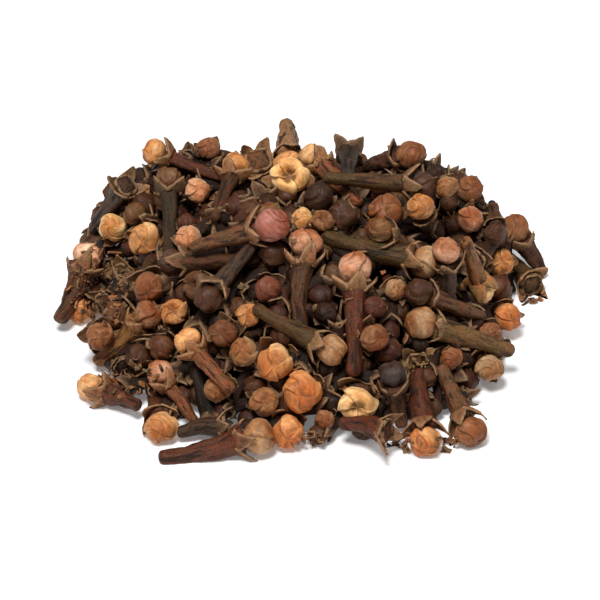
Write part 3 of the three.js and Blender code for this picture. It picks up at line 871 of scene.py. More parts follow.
def make_ball(seed, swirl, relief, tall, wide, opening, fineness):
    part = new_part()
    steps = fineness["petal_steps"]
    segments = PETALS * len(steps)
    bmesh.ops.create_uvsphere(part, u_segments=segments, v_segments=fineness["ball_rings"], radius=1)
    finish_part(part, PETAL)
    edge = part.verts.layers.float["edge"]
    shifts = [UNEVEN * math.sin(seed * 3 + k * 2.4) for k in range(PETALS)]
    starts = [2 * math.pi * (k + shift) / PETALS for k, shift in enumerate(shifts)]
    starts.append(starts[0] + 2 * math.pi)
    for vert in part.verts:
        height = vert.co.z
        level = math.sqrt(max(0.0, 1 - height**2))
        step = round(math.atan2(vert.co.y, vert.co.x) / (2 * math.pi) * segments) % segments
        petal, place = divmod(step, len(steps))
        share = steps[place]
        around = mix(starts[petal], starts[petal + 1], share)
        around += swirl * smooth_share(height, SWIRL_FROM, 1.0)
        over = (1.0 if place == 0 else share) - 0.5
        fade = smooth_share(height, *EDGES_BEGIN) * smooth_share(level, *EDGES_MEET)
        spot = Vector((level * math.cos(around), level * math.sin(around), height))
        dent = noise.noise(spot * 1.1 + Vector((seed, 0, 0)))
        dent += DENTS["small"] * noise.noise(spot * 3 + Vector((0, seed, 0)))
        radius = 1 + relief * over * fade + DENTS["all"] * dent
        crown = (1 - smooth_share(level, *CROWN_ENDS)) * (height > 0)
        sunk = (TOP_DIMPLE + opening) * crown
        vert.co.x = BALL_RADIUS * wide * radius * level * math.cos(around)
        vert.co.y = BALL_RADIUS * radius * level * math.sin(around)
        vert.co.z = BALL_RADIUS * tall * (radius * height - sunk)
        rim = PETAL_EDGE["rim"] * smooth_share(over, 0.1, 0.5) * fade
        flank = PETAL_EDGE["flank"] * smooth_share(level, *FLANK_AND_SHEEN)
        # Painted shade: the seam under each petal's free edge, the ball's foot and an opened crown darken.
        crease = smooth_share(-over, 0.38, 0.5) * fade
        shaded = PETAL_EDGE["foot"] * smooth_share(-height, *SHADED_FOOT)
        vert[edge] = max(rim, flank) - crease - shaded - PETAL_EDGE["crown"] * opening * crown
    return part


# %% [markdown]
# ## The open cup
#
# Where the ball has dropped off, the calyx is a shallow cup with a square rim, the stump of the
# style in its middle, and often a tangle of dry stamens. The cup is another spun profile, dark
# inside. A stamen is a thin rod swept along a bend.

# %% The cup and its stamens
RIM_PROFILE = [(1.9, 2.3), (1.75, 1.75), (1.45, 1.85), (1.2, 2.5)]
STYLE_PROFILE = [(0.7, 2.9), (0.32, 2.8), (0.24, 1.9), (0.0, 1.8)]
CUP_DRIED = {"square": 0.09, "dents": 0.1, "uneven": 0.15}
CUP_RIM = (1.3, 1.7)
STAMEN = {"radius": 0.17, "sides": 4, "steps": 5, "foot": (1.25, 0, -2.2), "wave": 0.3, "pale": 0.5}


def make_cup(seed, fineness):
    part = spin_profile(RIM_PROFILE + STYLE_PROFILE, fineness["sides"], HOLLOW)
    edge = part.verts.layers.float["edge"]
    for vert in part.verts:
        square = CUP_DRIED["square"] * math.cos(RIDGES * math.atan2(vert.co.y, vert.co.x))
        dent = CUP_DRIED["dents"] * noise.noise(vert.co * 1.5 + Vector((seed, 0, 0)))
        vert[edge] = smooth_share(vert.co.xy.length, *CUP_RIM)
        vert.co.xy *= 1 + square + dent
        vert.co.z += CUP_DRIED["uneven"] * noise.noise(vert.co * 1.2 + Vector((0, seed, 0)))
    return part


def make_stamen(turn, lean, length, curl):
    part = new_part()
    bmesh.ops.create_circle(part, segments=STAMEN["sides"], radius=STAMEN["radius"], cap_ends=True)
    ends = part.faces[:]
    for _ in range(STAMEN["steps"]):
        grown = bmesh.ops.extrude_face_region(part, geom=ends)["geom"]
        ends = [item for item in grown if isinstance(item, bmesh.types.BMFace)]
        verts = [item for item in grown if isinstance(item, bmesh.types.BMVert)]
        bmesh.ops.translate(part, verts=verts, vec=(0, 0, length / STAMEN["steps"]))
    for vert in part.verts:
        share = vert.co.z / length
        vert.co.x += length * curl * share**2
        vert.co.y += STAMEN["wave"] * length * curl * math.sin(share * 3 + turn)
    finish_part(part, SEPAL)
    edge = part.verts.layers.float["edge"]
    for vert in part.verts:
        vert[edge] = STAMEN["pale"] * vert.co.z / length
    leaning = Matrix.Translation(STAMEN["foot"]) @ Matrix.Rotation(lean, 4, "Y")
    bmesh.ops.transform(part, matrix=Matrix.Rotation(turn, 4, "Z") @ leaning, verts=part.verts)
    return part


# %% [markdown]
# ## Model buds
#
# A heap looks alive when no two neighbours are alike, but hundreds of different buds would be slow
# to make. So there are some two dozen models, and each clove takes one of them, turned, stretched
# and toned in its own way.

# %% How a model is made
# Each ball: its swirl, the relief of its petals, its height and width, and how far it has opened.
CLOSED_BALLS = [
    (0.9, 0.1, 1.0, 1.0, 0.0),
    (-0.7, 0.13, 0.92, 1.06, 0.0),
    (1.3, 0.09, 1.08, 0.95, 0.0),
    (0.5, 0.14, 0.95, 1.03, 0.1),
    (-1.1, 0.1, 1.03, 0.93, 0.0),
    (0.2, 0.13, 1.06, 0.98, 0.05),
]
PARTED_BALLS = [(0.6, 0.2, 1.0, 1.0, 0.8), (-0.4, 0.2, 0.95, 1.04, 0.45)]
SEPALS_DIFFER = {"turn": 0.15, "lift": 0.5, "spread": 0.14}
STAMENS = (0, 9, 0, 14)
STAMEN_CURL = -0.45
STAMEN_LEAN = {"least": 0.25, "by": 0.35}
STAMEN_LENGTH = {"usual": 2.0, "by": 0.8}


def make_bud(name, seed, ball, spread, stamens=0, fineness=FINE):
    bud = bmesh.new()
    add_part(bud, make_stem(seed, fineness))
    for k in range(PETALS):
        chance = math.sin(seed * 12.9 + k * 4.1)
        turn = k * math.pi / 2 + SEPALS_DIFFER["turn"] * chance
        lift = SEPALS_DIFFER["lift"] * math.sin(seed * 5 + k * 2.3)
        wider = 1 + SEPALS_DIFFER["spread"] * chance
        add_part(bud, make_sepal(turn, spread * wider, lift, fineness))
    add_part(bud, make_ball(seed, *ball, fineness) if ball else make_cup(seed, fineness))
    for k in range(stamens):
        turn = 2 * math.pi * (k + 0.5 * math.sin(seed + k * 3)) / stamens
        lean = STAMEN_LEAN["least"] + STAMEN_LEAN["by"] * math.sin(seed * 2 + k)
        length = STAMEN_LENGTH["usual"] + STAMEN_LENGTH["by"] * math.sin(k * 5)
        add_part(bud, make_stamen(turn, lean, length, STAMEN_CURL))
    return mesh_from(name, bud)


# %% The models
BUDS = [
    make_bud(f"bud_{i}", 1 + i * 1.7, ball, 0.8 + 0.04 * (i % 4)) for i, ball in enumerate(CLOSED_BALLS * 2)
]
PARTED_BUDS = [make_bud(f"parted_{i}", 30 + i, ball, 0.85) for i, ball in enumerate(PARTED_BALLS)]
CUPS = [
    make_bud(f"cup_{i}", 20 + i * 2.3, None, 0.9 + 0.06 * i, stamens) for i, stamens in enumerate(STAMENS)
]
PLAIN_BUDS = [
    make_bud(f"plain_bud_{i}", 40 + i * 1.3, ball, 0.85, 0, PLAIN) for i, ball in enumerate(CLOSED_BALLS)
]
PLAIN_CUPS = [make_bud(f"plain_cup_{i}", 60 + i, None, 0.95, 0, PLAIN) for i in range(3)]
MODELS = BUDS + PARTED_BUDS + CUPS + PLAIN_BUDS + PLAIN_CUPS
print(len(MODELS), "models with", sum(len(model.vertices) for model in MODELS), "vertices in all")

# %% [markdown]
# ## Putting the buds in their places
#
# A copy of a model is stretched behind its shoulder to the clove's own length, scaled, turned about
# its axis and aimed. Numpy moves all its vertices at once. Many copies are then joined into one
# mesh, so the heap is a handful of pieces and not hundreds.

# %% Placing one clove
LOWEST = 0.05
BALL_SIZES = (0.94, 1.05)
GRAIN_SHIFT = (0, 90)
ALONG_Y = Matrix.Rotation(-math.pi / 2, 3, "X")


def model_arrays(mesh):
    """A model's corners and the kind of part that each belongs to."""
    corners = np.empty(len(mesh.vertices) * 3, np.float32)
    mesh.vertices.foreach_get("co", corners)
    kinds = np.zeros(len(mesh.vertices), int)
    for polygon in mesh.polygons:
        kinds[list(polygon.vertices)] = polygon.material_index
    return corners.reshape(-1, 3).astype(float), kinds


MODEL_ARRAYS = {model.name: model_arrays(model) for model in MODELS}
petal_corners = sum((kinds == PETAL).sum() for _, kinds in MODEL_ARRAYS.values())
print("of the models' vertices,", petal_corners, "are on petals")


def turned(clove):
    """The rotation from a straight clove along +Z to where this one points."""
    aim = Vector((0, 1, 0)).rotation_difference(Vector(clove["axis"])).to_matrix()
    return np.array(aim @ Matrix.Rotation(clove["turn"], 3, "Y") @ ALONG_Y)


def corners_in_place(clove, corners):
    stretch = clove["length"] / (STEM_LENGTH * clove["size"])
    behind = corners[:, 2] < -SHOULDER["back"]
    factor = (TAIL["back"] * stretch - SHOULDER["back"]) / (TAIL["back"] - SHOULDER["back"])
    corners[behind, 2] = -SHOULDER["back"] + (corners[behind, 2] + SHOULDER["back"]) * factor
    placed = clove["head"] + clove["size"] * corners @ turned(clove).T
    placed[:, 2] = np.maximum(placed[:, 2], LOWEST)
    return placed


# %% [markdown]
# ## Its colours
#
# A clove's tones are its own, and vary a little from its neighbours'. Sepals take on some of the
# ball's tone and of cork. Petals are paler and yellower down their flanks, partly from drying and
# partly as a painted sheen, and redder where they close at the top. Painted shade darkens the
# cloves that lie low between the others.

# %% Toning one clove
# Petals paler and yellower down their flanks: partly their own colour, partly a painted sheen.
FLANK_TINT_AND_SHEEN = np.array([1.4, 1.75, 2.2])
CROWN_TINT = np.array([0.96, 0.86, 0.76])
TINTED_ABOVE = 0.3
TINT_STRENGTH = (0.5, 1.1)
BALL_IN_SEPAL = {True: (0.1, 0.4), False: (0.3, 0.5)}
CORK_IN_SEPAL = (0.05, 0.3)
# Painted shade: how dark the rule's low cloves get, and the gap cloves in front and at the far side.
DIMMEST = 0.4
DIM_BELOW = (0.8, 3.4)
IN_VIEW_SHADE = 0.27
FAR_SHADE = 0.8


def light_on(clove):
    """Painted shade: of the cloves laid by the rule, those that lie low are darker. The table's have none.
    """
    if clove.get("chosen"):
        return 1.0
    x, y, z = clove["head"]
    proud = (z - core_heights(np.array([[x, y]]))[0]) * core_outward(x, y)[2]
    return mix(DIMMEST, 1.0, smooth_share(proud, *DIM_BELOW))


def light_in_gap(clove):
    """Painted shade: in front, the gaps are painted dark. At the far side, where these cloves are what
    covers the heap, less so.
    """
    facing = core_outward(*clove["head"][:2]) @ AWAY
    return mix(IN_VIEW_SHADE, FAR_SHADE, smooth_share(facing, -0.2, 0.35))


def petal_colours(corners, ball_tone):
    height = np.clip(corners[:, 2:] / BALL_RADIUS, 0, 1)
    crown = height**2 * (3 - 2 * height)
    strength = look_draw(*TINT_STRENGTH) * min(1.0, ball_tone[0] / TINTED_ABOVE)
    return ball_tone * mix(1, mix(FLANK_TINT_AND_SHEEN, CROWN_TINT, crown), strength)


def colours_of(clove, corners, kinds, shade, variety):
    shades = [shade * look_draw(1 - variety, 1 + variety) for _ in clove["tones"]]
    ball_tone, stem_tone = (np.array(own) * shaded for own, shaded in zip(clove["tones"], shades))
    sepal_tone = mix(stem_tone, ball_tone, look_draw(*BALL_IN_SEPAL[bool(clove["ball"])]))
    sepal_tone = mix(sepal_tone, np.array(CORKY) * shade, look_draw(*CORK_IN_SEPAL))
    colours = np.ones((len(corners), 4), np.float32)
    colours[:, :3] = np.where(kinds[:, None] == SEPAL, sepal_tone, stem_tone)
    petals = kinds == PETAL
    colours[petals, :3] = petal_colours(corners[petals], ball_tone)
    return colours


# %% Copies, and many of them joined


def copy_in_place(clove, model, shade, variety):
    corners, kinds = (array.copy() for array in MODEL_ARRAYS[model.name])
    corners[kinds == PETAL] *= look_draw(*BALL_SIZES)
    placed = corners_in_place(clove, corners)
    colours = colours_of(clove, corners, kinds, shade, variety)
    mesh = model.copy()
    mesh.vertices.foreach_set("co", (placed * MM).astype(np.float32).ravel())
    mesh.attributes.new("tone", "FLOAT_COLOR", "POINT").data.foreach_set("color", colours.ravel())
    grain = np.empty(len(corners) * 3, np.float32)
    mesh.attributes["grain"].data.foreach_get("vector", grain)
    grain = grain.reshape(-1, 3) + look_vector(*GRAIN_SHIFT)
    mesh.attributes["grain"].data.foreach_set("vector", grain.astype(np.float32).ravel())
    return mesh


def add_object(name, data):
    added = bpy.data.objects.new(name, data)
    bpy.context.scene.collection.objects.link(added)
    return added


def make_piece(name, form):
    piece = add_object(name, mesh_from(name, form))
    print(name, sum(len(face.vertices) - 2 for face in piece.data.polygons), "triangles")
    return piece


def join_cloves(name, cloves, buds, cups, shade_of, variety):
    """One object of many cloves, each a copy of some model."""
    joined = bmesh.new()
    for clove in cloves:
        models = PARTED_BUDS if clove.get("parted") else buds if clove["ball"] else cups
        copy = copy_in_place(clove, pick(models), shade_of(clove), variety)
        joined.from_mesh(copy)
        bpy.data.meshes.remove(copy)
    print(len(cloves), "cloves in", name)
    return make_piece(name, joined)


# %% The cloves, one piece for each kind
on_top = heap.cloves[:laid_as_in_cad]
deep = heap.cloves[laid_as_in_cad:]
near = [clove for clove in on_top[: len(NEAR_SIDE)] if clove["ball"]]
far = [clove for clove in on_top[len(NEAR_SIDE) :] if clove["ball"]]
opened = [clove for clove in on_top if not clove["ball"]]
half = len(deep) // 2
pieces = [
    join_cloves("cloves_near_side", near, BUDS, CUPS, light_on, 0.04),
    join_cloves("cloves_far_side", far, BUDS + PARTED_BUDS, CUPS, light_on, 0.15),
    join_cloves("open_cloves", opened, BUDS, CUPS, light_on, 0.1),
    join_cloves("deep_cloves_a", deep[:half], PLAIN_BUDS, PLAIN_CUPS, light_in_gap, 0.2),
    join_cloves("deep_cloves_b", deep[half:], PLAIN_BUDS, PLAIN_CUPS, light_in_gap, 0.2),
]

# %% [markdown]
# ## Broken bits
#
# Dried cloves shed. Flakes of petal and sepal and a few loose stamens lie where they fell, most of
# them at the left, where some buds have crumbled. A flake is a small grid, curled and given its
# thickness. Each is sent in until it touches, like a clove, but feels with one small ball.

# %% Flakes and loose stamens
FLAKE = {"smallest": 0.45, "largest": 1.3, "thickness": 0.16, "feeler": 0.35}
STAMEN_SHARE = 0.3
LOOSE_LENGTH = 1.6
BIT_TONES = [HONEY, TAN, ROSE, FAWN, FAWN, MOSS, MOSS, TAWNY, UMBER]
BIT_SHADES = (0.6, 1.05)


def make_flake(curl, seed):
    part = new_part()
    bmesh.ops.create_grid(part, x_segments=3, y_segments=3, size=0.5)
    edge = part.verts.layers.float["edge"]
    for vert in part.verts:
        x, y = vert.co.xy
        ragged = noise_at(x * 2, y * 2, seed)
        vert.co.x = x * (1 + 0.5 * ragged)
        vert.co.y = 0.7 * y * (1 - 0.5 * x)
        vert.co.z = curl * (x * x + 0.4 * x * y) + 0.2 * ragged
        vert[edge] = min(1.0, 2 * max(abs(x), abs(y))) ** 4 * 0.6
    bmesh.ops.solidify(part, geom=part.faces[:], thickness=FLAKE["thickness"])
    return finish_part(part, SEPAL)


def make_loose_stamen(curl, seed):
    part = make_stamen(seed, 0.0, LOOSE_LENGTH, curl)
    middle = sum((vert.co for vert in part.verts), Vector()) / len(part.verts)
    bmesh.ops.translate(part, verts=part.verts, vec=-middle)
    return part


def bit_in_place(made, at, size):
    """Turns, scales and places one bit, and gives it its tone and its own stretch of grain."""
    angle = look_draw(0, 2 * math.pi)
    turn = Matrix.Rotation(angle, 3, Vector(look_vector(-1, 1)) + Vector((0, 0, 0.01)))
    bit_tone = np.array(pick(BIT_TONES)) * look_draw(*BIT_SHADES)
    tone_layer = made.verts.layers.float_color.new("tone")
    grain = made.verts.layers.float_vector["grain"]
    shift = Vector(look_vector(*GRAIN_SHIFT))
    for vert in made.verts:
        vert[grain] = vert.co + shift
        vert[tone_layer] = (*bit_tone, 1.0)
        vert.co = Vector(at) + turn @ vert.co * size
        vert.co.z = max(vert.co.z, LOWEST)
        vert.co *= MM
    return made


# %% Where the bits lie
# Each patch: where it is seen (right and up), its half-width and half-height, and its bits.
CRUMBLED = [
    (-26.5, 3.5, 4.5, 5.0, 100),
    (-22.6, -8.6, 4.4, 2.6, 34),
    (0.8, -16.3, 1.8, 0.8, 14),
    (12.6, -16.9, 1.8, 1.0, 16),
    (18.6, -17.0, 1.6, 0.9, 16),
    (29.8, 1.8, 1.5, 0.9, 10),
]
JITTER = 0.4
SCATTERED = {"bits": 90, "y": 1.0, "reach": 0.92, "tries": 8}


def where_bits_lie():
    """Where each bit comes to rest: sent in along the line of sight, or fallen on a spiral's spots."""
    feeler = ball_at(FLAKE["feeler"])
    for right, up, half_width, half_height, bits in CRUMBLED:
        for across, along in sunflower(bits, right, up, half_width, half_height):
            seen = seen_at(across + look_draw(-JITTER, JITTER), along + look_draw(-JITTER, JITTER))
            yield send_in(seen, feeler)[0]
    half_x, half_y = FOOT["rx"] * SCATTERED["reach"], FOOT["ry"] * SCATTERED["reach"]
    for x, y in sunflower(SCATTERED["bits"], FOOT["x"], SCATTERED["y"], half_x, half_y):
        starts = [above(x, y, look_draw) for _ in range(SCATTERED["tries"])]
        falls = [let_fall(start, feeler) for start in starts]
        yield min(falls, key=lambda at: at[2] - core_heights(at[None])[0])


# %% The bits, in one piece


def make_bits():
    joined = bmesh.new()
    for number, at in enumerate(where_bits_lie()):
        make = make_loose_stamen if look_draw(0, 1) < STAMEN_SHARE else make_flake
        made = make(look_draw(-1, 1), number)
        add_part(joined, bit_in_place(made, at, look_draw(FLAKE["smallest"], FLAKE["largest"])))
    return make_piece("broken_bits", joined)


pieces.append(make_bits())

# %% [markdown]
# ## The core
#
# Under the cloves lies what nobody sees: more cloves and dust. A dark lumpy body stands for it, a
# sphere whose upper half is lifted to the height of the mounds and whose lower half is its flat
# foot. Its dark tone is painted shade, for the shadow deep in the heap. It is sunk below the
# cloves that show, most of all at its edge, and its foot is drawn in under them.

# %% The core
CORE = {"segments": 96, "rings": 64, "share": 0.9, "lumps": 1.1, "foot": 0.3, "drawn_in": 4.0}
CORE_DEPTH = {"middle": 1.8, "edge": 4.0}
CORE_SHADE = 0.25
FURTHEST = 32
EDGE_STEP = 0.25
FOOT_BAND = 1e-4


def core_edge(angle):
    """How far from its middle the core still stands high enough to be covered by cloves."""
    distances = np.arange(0, FURTHEST, EDGE_STEP)
    at = np.stack([FOOT["x"] + distances * math.cos(angle), distances * math.sin(angle)], axis=1)
    return distances[core_heights(at, CORE["share"]) > CORE_DEPTH["edge"]].max()


def core_top(x, y, outward):
    """How high the sunk core stands, its share of the way outward squared."""
    lump = noise.noise(Vector((x, y, 0)) * 0.35) + 0.5 * noise.noise(Vector((x, y, 9)) * 0.9)
    sunk = mix(CORE_DEPTH["middle"], CORE_DEPTH["edge"], outward)
    top = core_heights(np.array([[x, y]]), CORE["share"])[0] + CORE["lumps"] * lump - sunk
    return max(CORE["foot"], top)


def make_core():
    core = new_part()
    bmesh.ops.create_uvsphere(core, u_segments=CORE["segments"], v_segments=CORE["rings"], radius=1)
    for vert in core.verts:
        edge = core_edge(math.atan2(vert.co.y, vert.co.x))
        x, y = edge * vert.co.x, edge * vert.co.y
        height = 0.0
        if vert.co.z > FOOT_BAND:
            height = core_top(FOOT["x"] + x, y, vert.co.xy.length_squared)
        elif vert.co.z > -FOOT_BAND:
            height = CORE["foot"]
        drawn_in = 1 - CORE["drawn_in"] / edge
        vert.co = Vector((FOOT["x"] + drawn_in * x, drawn_in * y, height))
    finish_part(core, STEM)
    grain = core.verts.layers.float_vector["grain"]
    tone_layer = core.verts.layers.float_color.new("tone")
    for vert in core.verts:
        vert[grain] = vert.co
        # Painted shade: the core's tone is bark darkened to a quarter.
        vert[tone_layer] = (*(CORE_SHADE * part for part in BARK), 1.0)
        vert.co *= MM
    return make_piece("dark_core", core)


pieces.append(make_core())

# %% [markdown]
# ## Shared effects: folds, mottling and pale rims
#
# Three node groups serve every material. "Dry folds" gives a height: long folds along the grain
# with a fine crackle on top, and where its hollows lie, for painted shade. "Mottling" varies a tone
# in patches between two tints, and in specks between darker and lighter, as drying does. "Rims and
# shaded creases" pales what stands out and darkens what lies in, which is painted shade.

# %% Helpers for node groups
WHITE = (1, 1, 1, 1)


def socket_type(value):
    """A group's socket holds a vector where it has no value, and else a colour or a number."""
    if value is None:
        return "NodeSocketVector"
    return "NodeSocketColor" if isinstance(value, tuple) else "NodeSocketFloat"


def new_group(name, inputs, outputs):
    """A shader node group: its tree, what its inputs give, and what its outputs take."""
    group = bpy.data.node_groups.new(name, "ShaderNodeTree")
    for socket, value in inputs.items():
        made = group.interface.new_socket(name=socket, in_out="INPUT", socket_type=socket_type(value))
        if value is not None:
            made.default_value = value
    for socket, value in outputs.items():
        group.interface.new_socket(name=socket, in_out="OUTPUT", socket_type=socket_type(value))
    print("group", name, "with the inputs", ", ".join(inputs))
    return group, group.nodes.new("NodeGroupInput").outputs, group.nodes.new("NodeGroupOutput").inputs


def add_node(tree, kind, settings=None, **links):
    """A node with its settings and its inputs, each a value or a socket to link from."""
    node = tree.nodes.new(kind)
    for key, value in (settings or {}).items():
        setattr(node, key, value)
    for key, value in links.items():
        socket = node.inputs[int(key[1:]) if key[1:].isdigit() else key.replace("_", " ")]
        if isinstance(value, bpy.types.NodeSocket):
            tree.links.new(value, socket)
        else:
            socket.default_value = value
    return node


def noise_of(tree, vector, scale, detail, roughness=0.55):
    given = {"Vector": vector, "Scale": scale, "Detail": detail, "Roughness": roughness}
    return add_node(tree, "ShaderNodeTexNoise", **given).outputs["Fac"]


def stretched(tree, vector, scale):
    return add_node(tree, "ShaderNodeMapping", Vector=vector, Scale=scale).outputs["Vector"]


def ranged(tree, value, low, high, to_low, to_high):
    given = {"i0": value, "i1": low, "i2": high, "i3": to_low, "i4": to_high}
    return add_node(tree, "ShaderNodeMapRange", {"interpolation_type": "SMOOTHSTEP"}, **given).outputs[0]


def math_of(tree, operation, first, second):
    return add_node(tree, "ShaderNodeMath", {"operation": operation}, i0=first, i1=second).outputs[0]


def mixed(tree, factor, first, second, blend="MIX"):
    settings = {"data_type": "RGBA", "blend_type": blend}
    return add_node(tree, "ShaderNodeMix", settings, i0=factor, i6=first, i7=second).outputs[2]


# %% Dry folds
ALONG_THE_GRAIN = (1.5, 1.5, 0.28)
CRACKLE_STRETCH = (1.0, 1.0, 0.55)
folds, given, wanted = new_group(
    "Dry folds", {"Grain": None, "Folds": 1.0, "Crackle": 1.0}, {"Height": 0.0, "Shaded Hollows": 0.0}
)
long_folds = noise_of(folds, stretched(folds, given["Grain"], ALONG_THE_GRAIN), 1.0, 3.0)
crackle = noise_of(folds, stretched(folds, given["Grain"], CRACKLE_STRETCH), 5.5, 3.0, 0.6)
high = math_of(folds, "MULTIPLY", long_folds, given["Folds"])
fine = math_of(folds, "MULTIPLY", crackle, given["Crackle"])
folds.links.new(math_of(folds, "ADD", high, fine), wanted["Height"])
folds.links.new(ranged(folds, long_folds, 0.35, 0.5, 1.0, 0.0), wanted["Shaded Hollows"])

# %% Mottling
GREY = (0.5, 0.5, 0.5, 1)
DARKEST_SPECK = 0.62
LIGHTEST_SPECK = 1.35
mottling, given, wanted = new_group(
    "Mottling",
    {"Tone": GREY, "Grain": None, "Strength": 1.0, "One Tint": WHITE, "Other Tint": WHITE},
    {"Tone": GREY},
)
patches = ranged(mottling, noise_of(mottling, given["Grain"], 0.55, 2.0), 0.38, 0.62, 0.0, 1.0)
specks = noise_of(mottling, given["Grain"], 3.2, 4.0, 0.65)
hue = mixed(mottling, patches, given["One Tint"], given["Other Tint"])
value = ranged(mottling, specks, 0.3, 0.7, DARKEST_SPECK, LIGHTEST_SPECK)
shade = add_node(mottling, "ShaderNodeVectorMath", {"operation": "SCALE"}, i0=hue, Scale=value)
toned = mixed(mottling, 1.0, given["Tone"], shade.outputs[0], "MULTIPLY")
mottling.links.new(mixed(mottling, given["Strength"], given["Tone"], toned), wanted["Tone"])

# %% Rims and shaded creases
DEEPEST_CREASE_SHADE = 0.85
rims, given, wanted = new_group(
    "Rims and shaded creases",
    {"Tone": GREY, "Rim": WHITE, "Crease": GREY, "Edge": 0.0, "Strength": 1.0, "Own": 0.0},
    {"Tone": GREY},
)
rim_share = math_of(rims, "MULTIPLY", ranged(rims, given["Edge"], 0.05, 1.0, 0.0, 1.0), given["Strength"])
# Painted shade: creases darken towards the crease tone.
crease_shade_share = ranged(rims, given["Edge"], -1.0, -0.05, DEEPEST_CREASE_SHADE, 0.0)
rim_tone = mixed(rims, given["Own"], given["Rim"], given["Tone"], "MULTIPLY")
with_rim = mixed(rims, rim_share, given["Tone"], rim_tone)
rims.links.new(mixed(rims, crease_shade_share, with_rim, given["Crease"]), wanted["Tone"])

# %% [markdown]
# ## Materials
#
# The stem is leathery, with a faint oily sheen on its ridges. The sepals are the same skin with
# pale, corky margins. The petals are smooth, thin and waxy, and they dry to a warm gold. The inside
# of a cup is dull and nearly black, and the core is painted nearly black as shade. All five read the
# tone, the grain and the edge that the meshes carry, and paint shade into creases and the hollows of
# folds.

# %% Helpers for materials
GLOSS = 0.25
BUMP_DEPTH = 0.0003
ROUGHER_IN_HOLLOWS = 0.25


def attribute(tree, name, output):
    return add_node(tree, "ShaderNodeAttribute", {"attribute_name": name}).outputs[output]


def group_node(tree, group, **links):
    return add_node(tree, "ShaderNodeGroup", {"node_tree": group}, **links).outputs


def skin(name, tints, rim, crease, rim_strength, mottle, fold, crack, bump, depth, rough, own=0.0):
    """A dried plant skin: toned, mottled, with rims and folds, and painted shade in creases and hollows."""
    material = bpy.data.materials.new(name)
    material.use_nodes = True
    tree = material.node_tree
    shader = tree.nodes["Principled BSDF"].inputs
    grain = attribute(tree, "grain", "Vector")
    one_tint, other_tint, rim, crease = ((*colour, 1) for colour in (*tints, rim, crease))
    tones = {"Tone": attribute(tree, "tone", "Color"), "One_Tint": one_tint, "Other_Tint": other_tint}
    mottled = group_node(tree, mottling, Grain=grain, Strength=mottle, **tones)["Tone"]
    edge = {"Edge": attribute(tree, "edge", "Fac"), "Strength": rim_strength, "Own": own}
    edged = group_node(tree, rims, Tone=mottled, Rim=rim, Crease=crease, **edge)["Tone"]
    folded = group_node(tree, folds, Grain=grain, Folds=fold, Crackle=crack)
    # Painted shade: the hollows of the folds are darkened towards the crease tone, by the depth given.
    darker = mixed(tree, folded["Shaded Hollows"], edged, crease)
    tree.links.new(mixed(tree, depth, edged, darker), shader["Base Color"])
    roughest = min(1.0, rough + ROUGHER_IN_HOLLOWS)
    tree.links.new(ranged(tree, folded["Shaded Hollows"], 0.0, 1.0, rough, roughest), shader["Roughness"])
    shader["Specular IOR Level"].default_value = GLOSS
    relief = add_node(tree, "ShaderNodeBump", Strength=bump, Distance=BUMP_DEPTH, Height=folded["Height"])
    tree.links.new(relief.outputs["Normal"], shader["Normal"])
    return material


# %% The five skins
PALER = (1.35, 1.6, 2.0)
# Painted shade: the tone of creases and hollows, and of the seams between petals.
CREASE_SHADE_TONE = tone(26, 16, 13)
SEAM_SHADE_TONE = tone(82, 40, 20)
BARK_TINTS = ((0.92, 1.01, 0.84), (1.16, 0.95, 0.84))
PETAL_TINTS = ((1.1, 1.22, 1.35), (0.92, 0.74, 0.6))

# Each skin: the tints of its mottling, the tones of its rims and of the painted shade in its
# creases, then how strong its rims, mottling, folds, crackle and relief are, how dark the painted
# shade in its hollows is, and how rough it is. A petal's rim is its own tone made paler.
SKINS = [
    skin("stem_skin", BARK_TINTS, TAWNY, CREASE_SHADE_TONE, 0.8, 1.0, 1.0, 0.5, 1.0, 0.8, 0.52),
    skin("sepal_skin", BARK_TINTS, CORKY, CREASE_SHADE_TONE, 0.6, 0.9, 0.8, 0.5, 0.8, 0.4, 0.6),
    skin("petal_skin", PETAL_TINTS, PALER, SEAM_SHADE_TONE, 0.8, 0.9, 0.3, 0.6, 0.7, 0.2, 0.5, own=1.0),
    skin("hollow_skin", BARK_TINTS, CORKY, CREASE_SHADE_TONE, 0.7, 0.8, 1.0, 0.6, 1.0, 0.85, 0.75),
]
core_shade_skin = skin("core_shade_skin", BARK_TINTS, BARK, CREASE_SHADE_TONE, 0.0, 1.0, 1.0, 1.0, 1.0, 0.8, 0.8)

for piece in pieces[:-1]:
    for material in SKINS:
        piece.data.materials.append(material)
pieces[-1].data.materials.append(core_shade_skin)
print("skins:", ", ".join(material.name for material in SKINS + [core_shade_skin]))

# %% [markdown]
# ## Riding on the part
#
# Every piece replaces the CAD heap and moves with its one body.

# %% Tie the pieces to the part
for piece in pieces:
    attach(piece, "root")
    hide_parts("clove_heap")
print(len(pieces), "pieces ride on the root and stand for the CAD heap")

# %% [markdown]
# ## Floor, light and camera
#
# The heap lies on a pale, plain floor that glows a little, so that it stays white round the heap. A
# round light stands high in front and a weaker one behind, and a dim white surround keeps the
# shadows from going black. The camera looks down at the height from which the near side was laid.

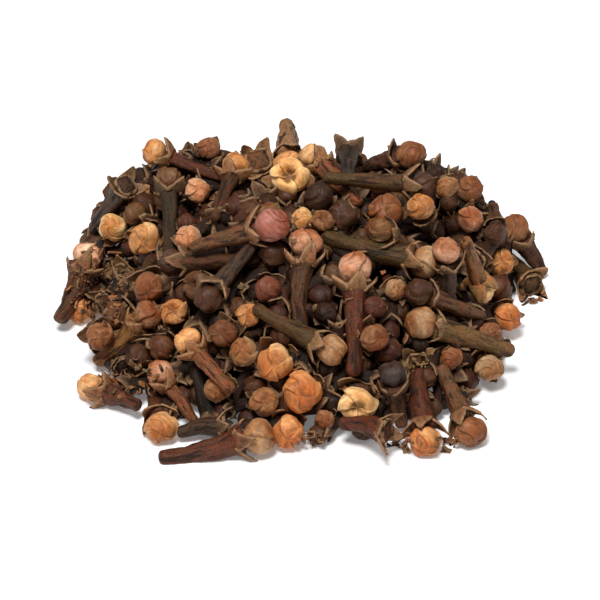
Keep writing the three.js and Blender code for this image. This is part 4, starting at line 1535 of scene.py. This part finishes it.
# %% Floor
FLOOR_RADIUS = 1.2
FLOOR_LOOK = {
    "Base Color": (0.95, 0.95, 0.95, 1),
    "Roughness": 0.9,
    "Emission Color": WHITE,
    "Emission Strength": 0.15,
}
floor_form = bmesh.new()
bmesh.ops.create_circle(floor_form, cap_ends=True, segments=64, radius=FLOOR_RADIUS)
floor = add_object("floor", mesh_from("floor", floor_form))
pale = bpy.data.materials.new("pale_floor")
pale.use_nodes = True
for socket, value in FLOOR_LOOK.items():
    pale.node_tree.nodes["Principled BSDF"].inputs[socket].default_value = value
floor.data.materials.append(pale)
print("the floor is", 2 * FLOOR_RADIUS, "m across")

# %% Light
SURROUND = 0.14


def area_light(name, place, size, power):
    light = bpy.data.lights.new(name, "AREA")
    light.shape = "DISK"
    light.size = size
    light.energy = power
    holder = add_object(name, light)
    holder.location = place
    holder.rotation_euler = (-Vector(place)).to_track_quat("-Z", "Y").to_euler()
    print(name, "of", power, "W, at", round(Vector(place).length, 2), "m")


area_light("key_light", (-0.08, -0.20, 0.55), 0.2, 3.75)
area_light("top_light", (0.15, 0.15, 0.60), 0.4, 0.8)
world = bpy.data.worlds.new("bright_room")
world.use_nodes = True
world.node_tree.nodes["Background"].inputs["Color"].default_value = WHITE
world.node_tree.nodes["Background"].inputs["Strength"].default_value = SURROUND
bpy.context.scene.world = world
bpy.context.scene.view_settings.view_transform = "Standard"

# %% Camera
FRAME_PIXELS = 600
FRAME_WIDTH_AT_HEAP = 78.0
AIM_PIXEL = (305, 312)
SENSOR = 36.0
camera_data = bpy.data.cameras.new("camera")
camera_data.sensor_width = SENSOR
camera_data.lens = SENSOR * VIEW_DISTANCE / FRAME_WIDTH_AT_HEAP
camera_data.shift_x = (FRAME_PIXELS / 2 - AIM_PIXEL[0]) / FRAME_PIXELS
camera_data.shift_y = (AIM_PIXEL[1] - FRAME_PIXELS / 2) / FRAME_PIXELS
camera = add_object("camera", camera_data)
camera.location = Vector(EYE) * MM
camera.rotation_euler = Vector(AWAY).to_track_quat("-Z", "Y").to_euler()
bpy.context.scene.camera = camera
print("the camera is a", round(camera_data.lens), "mm lens,", VIEW_DISTANCE, "mm from the heap")
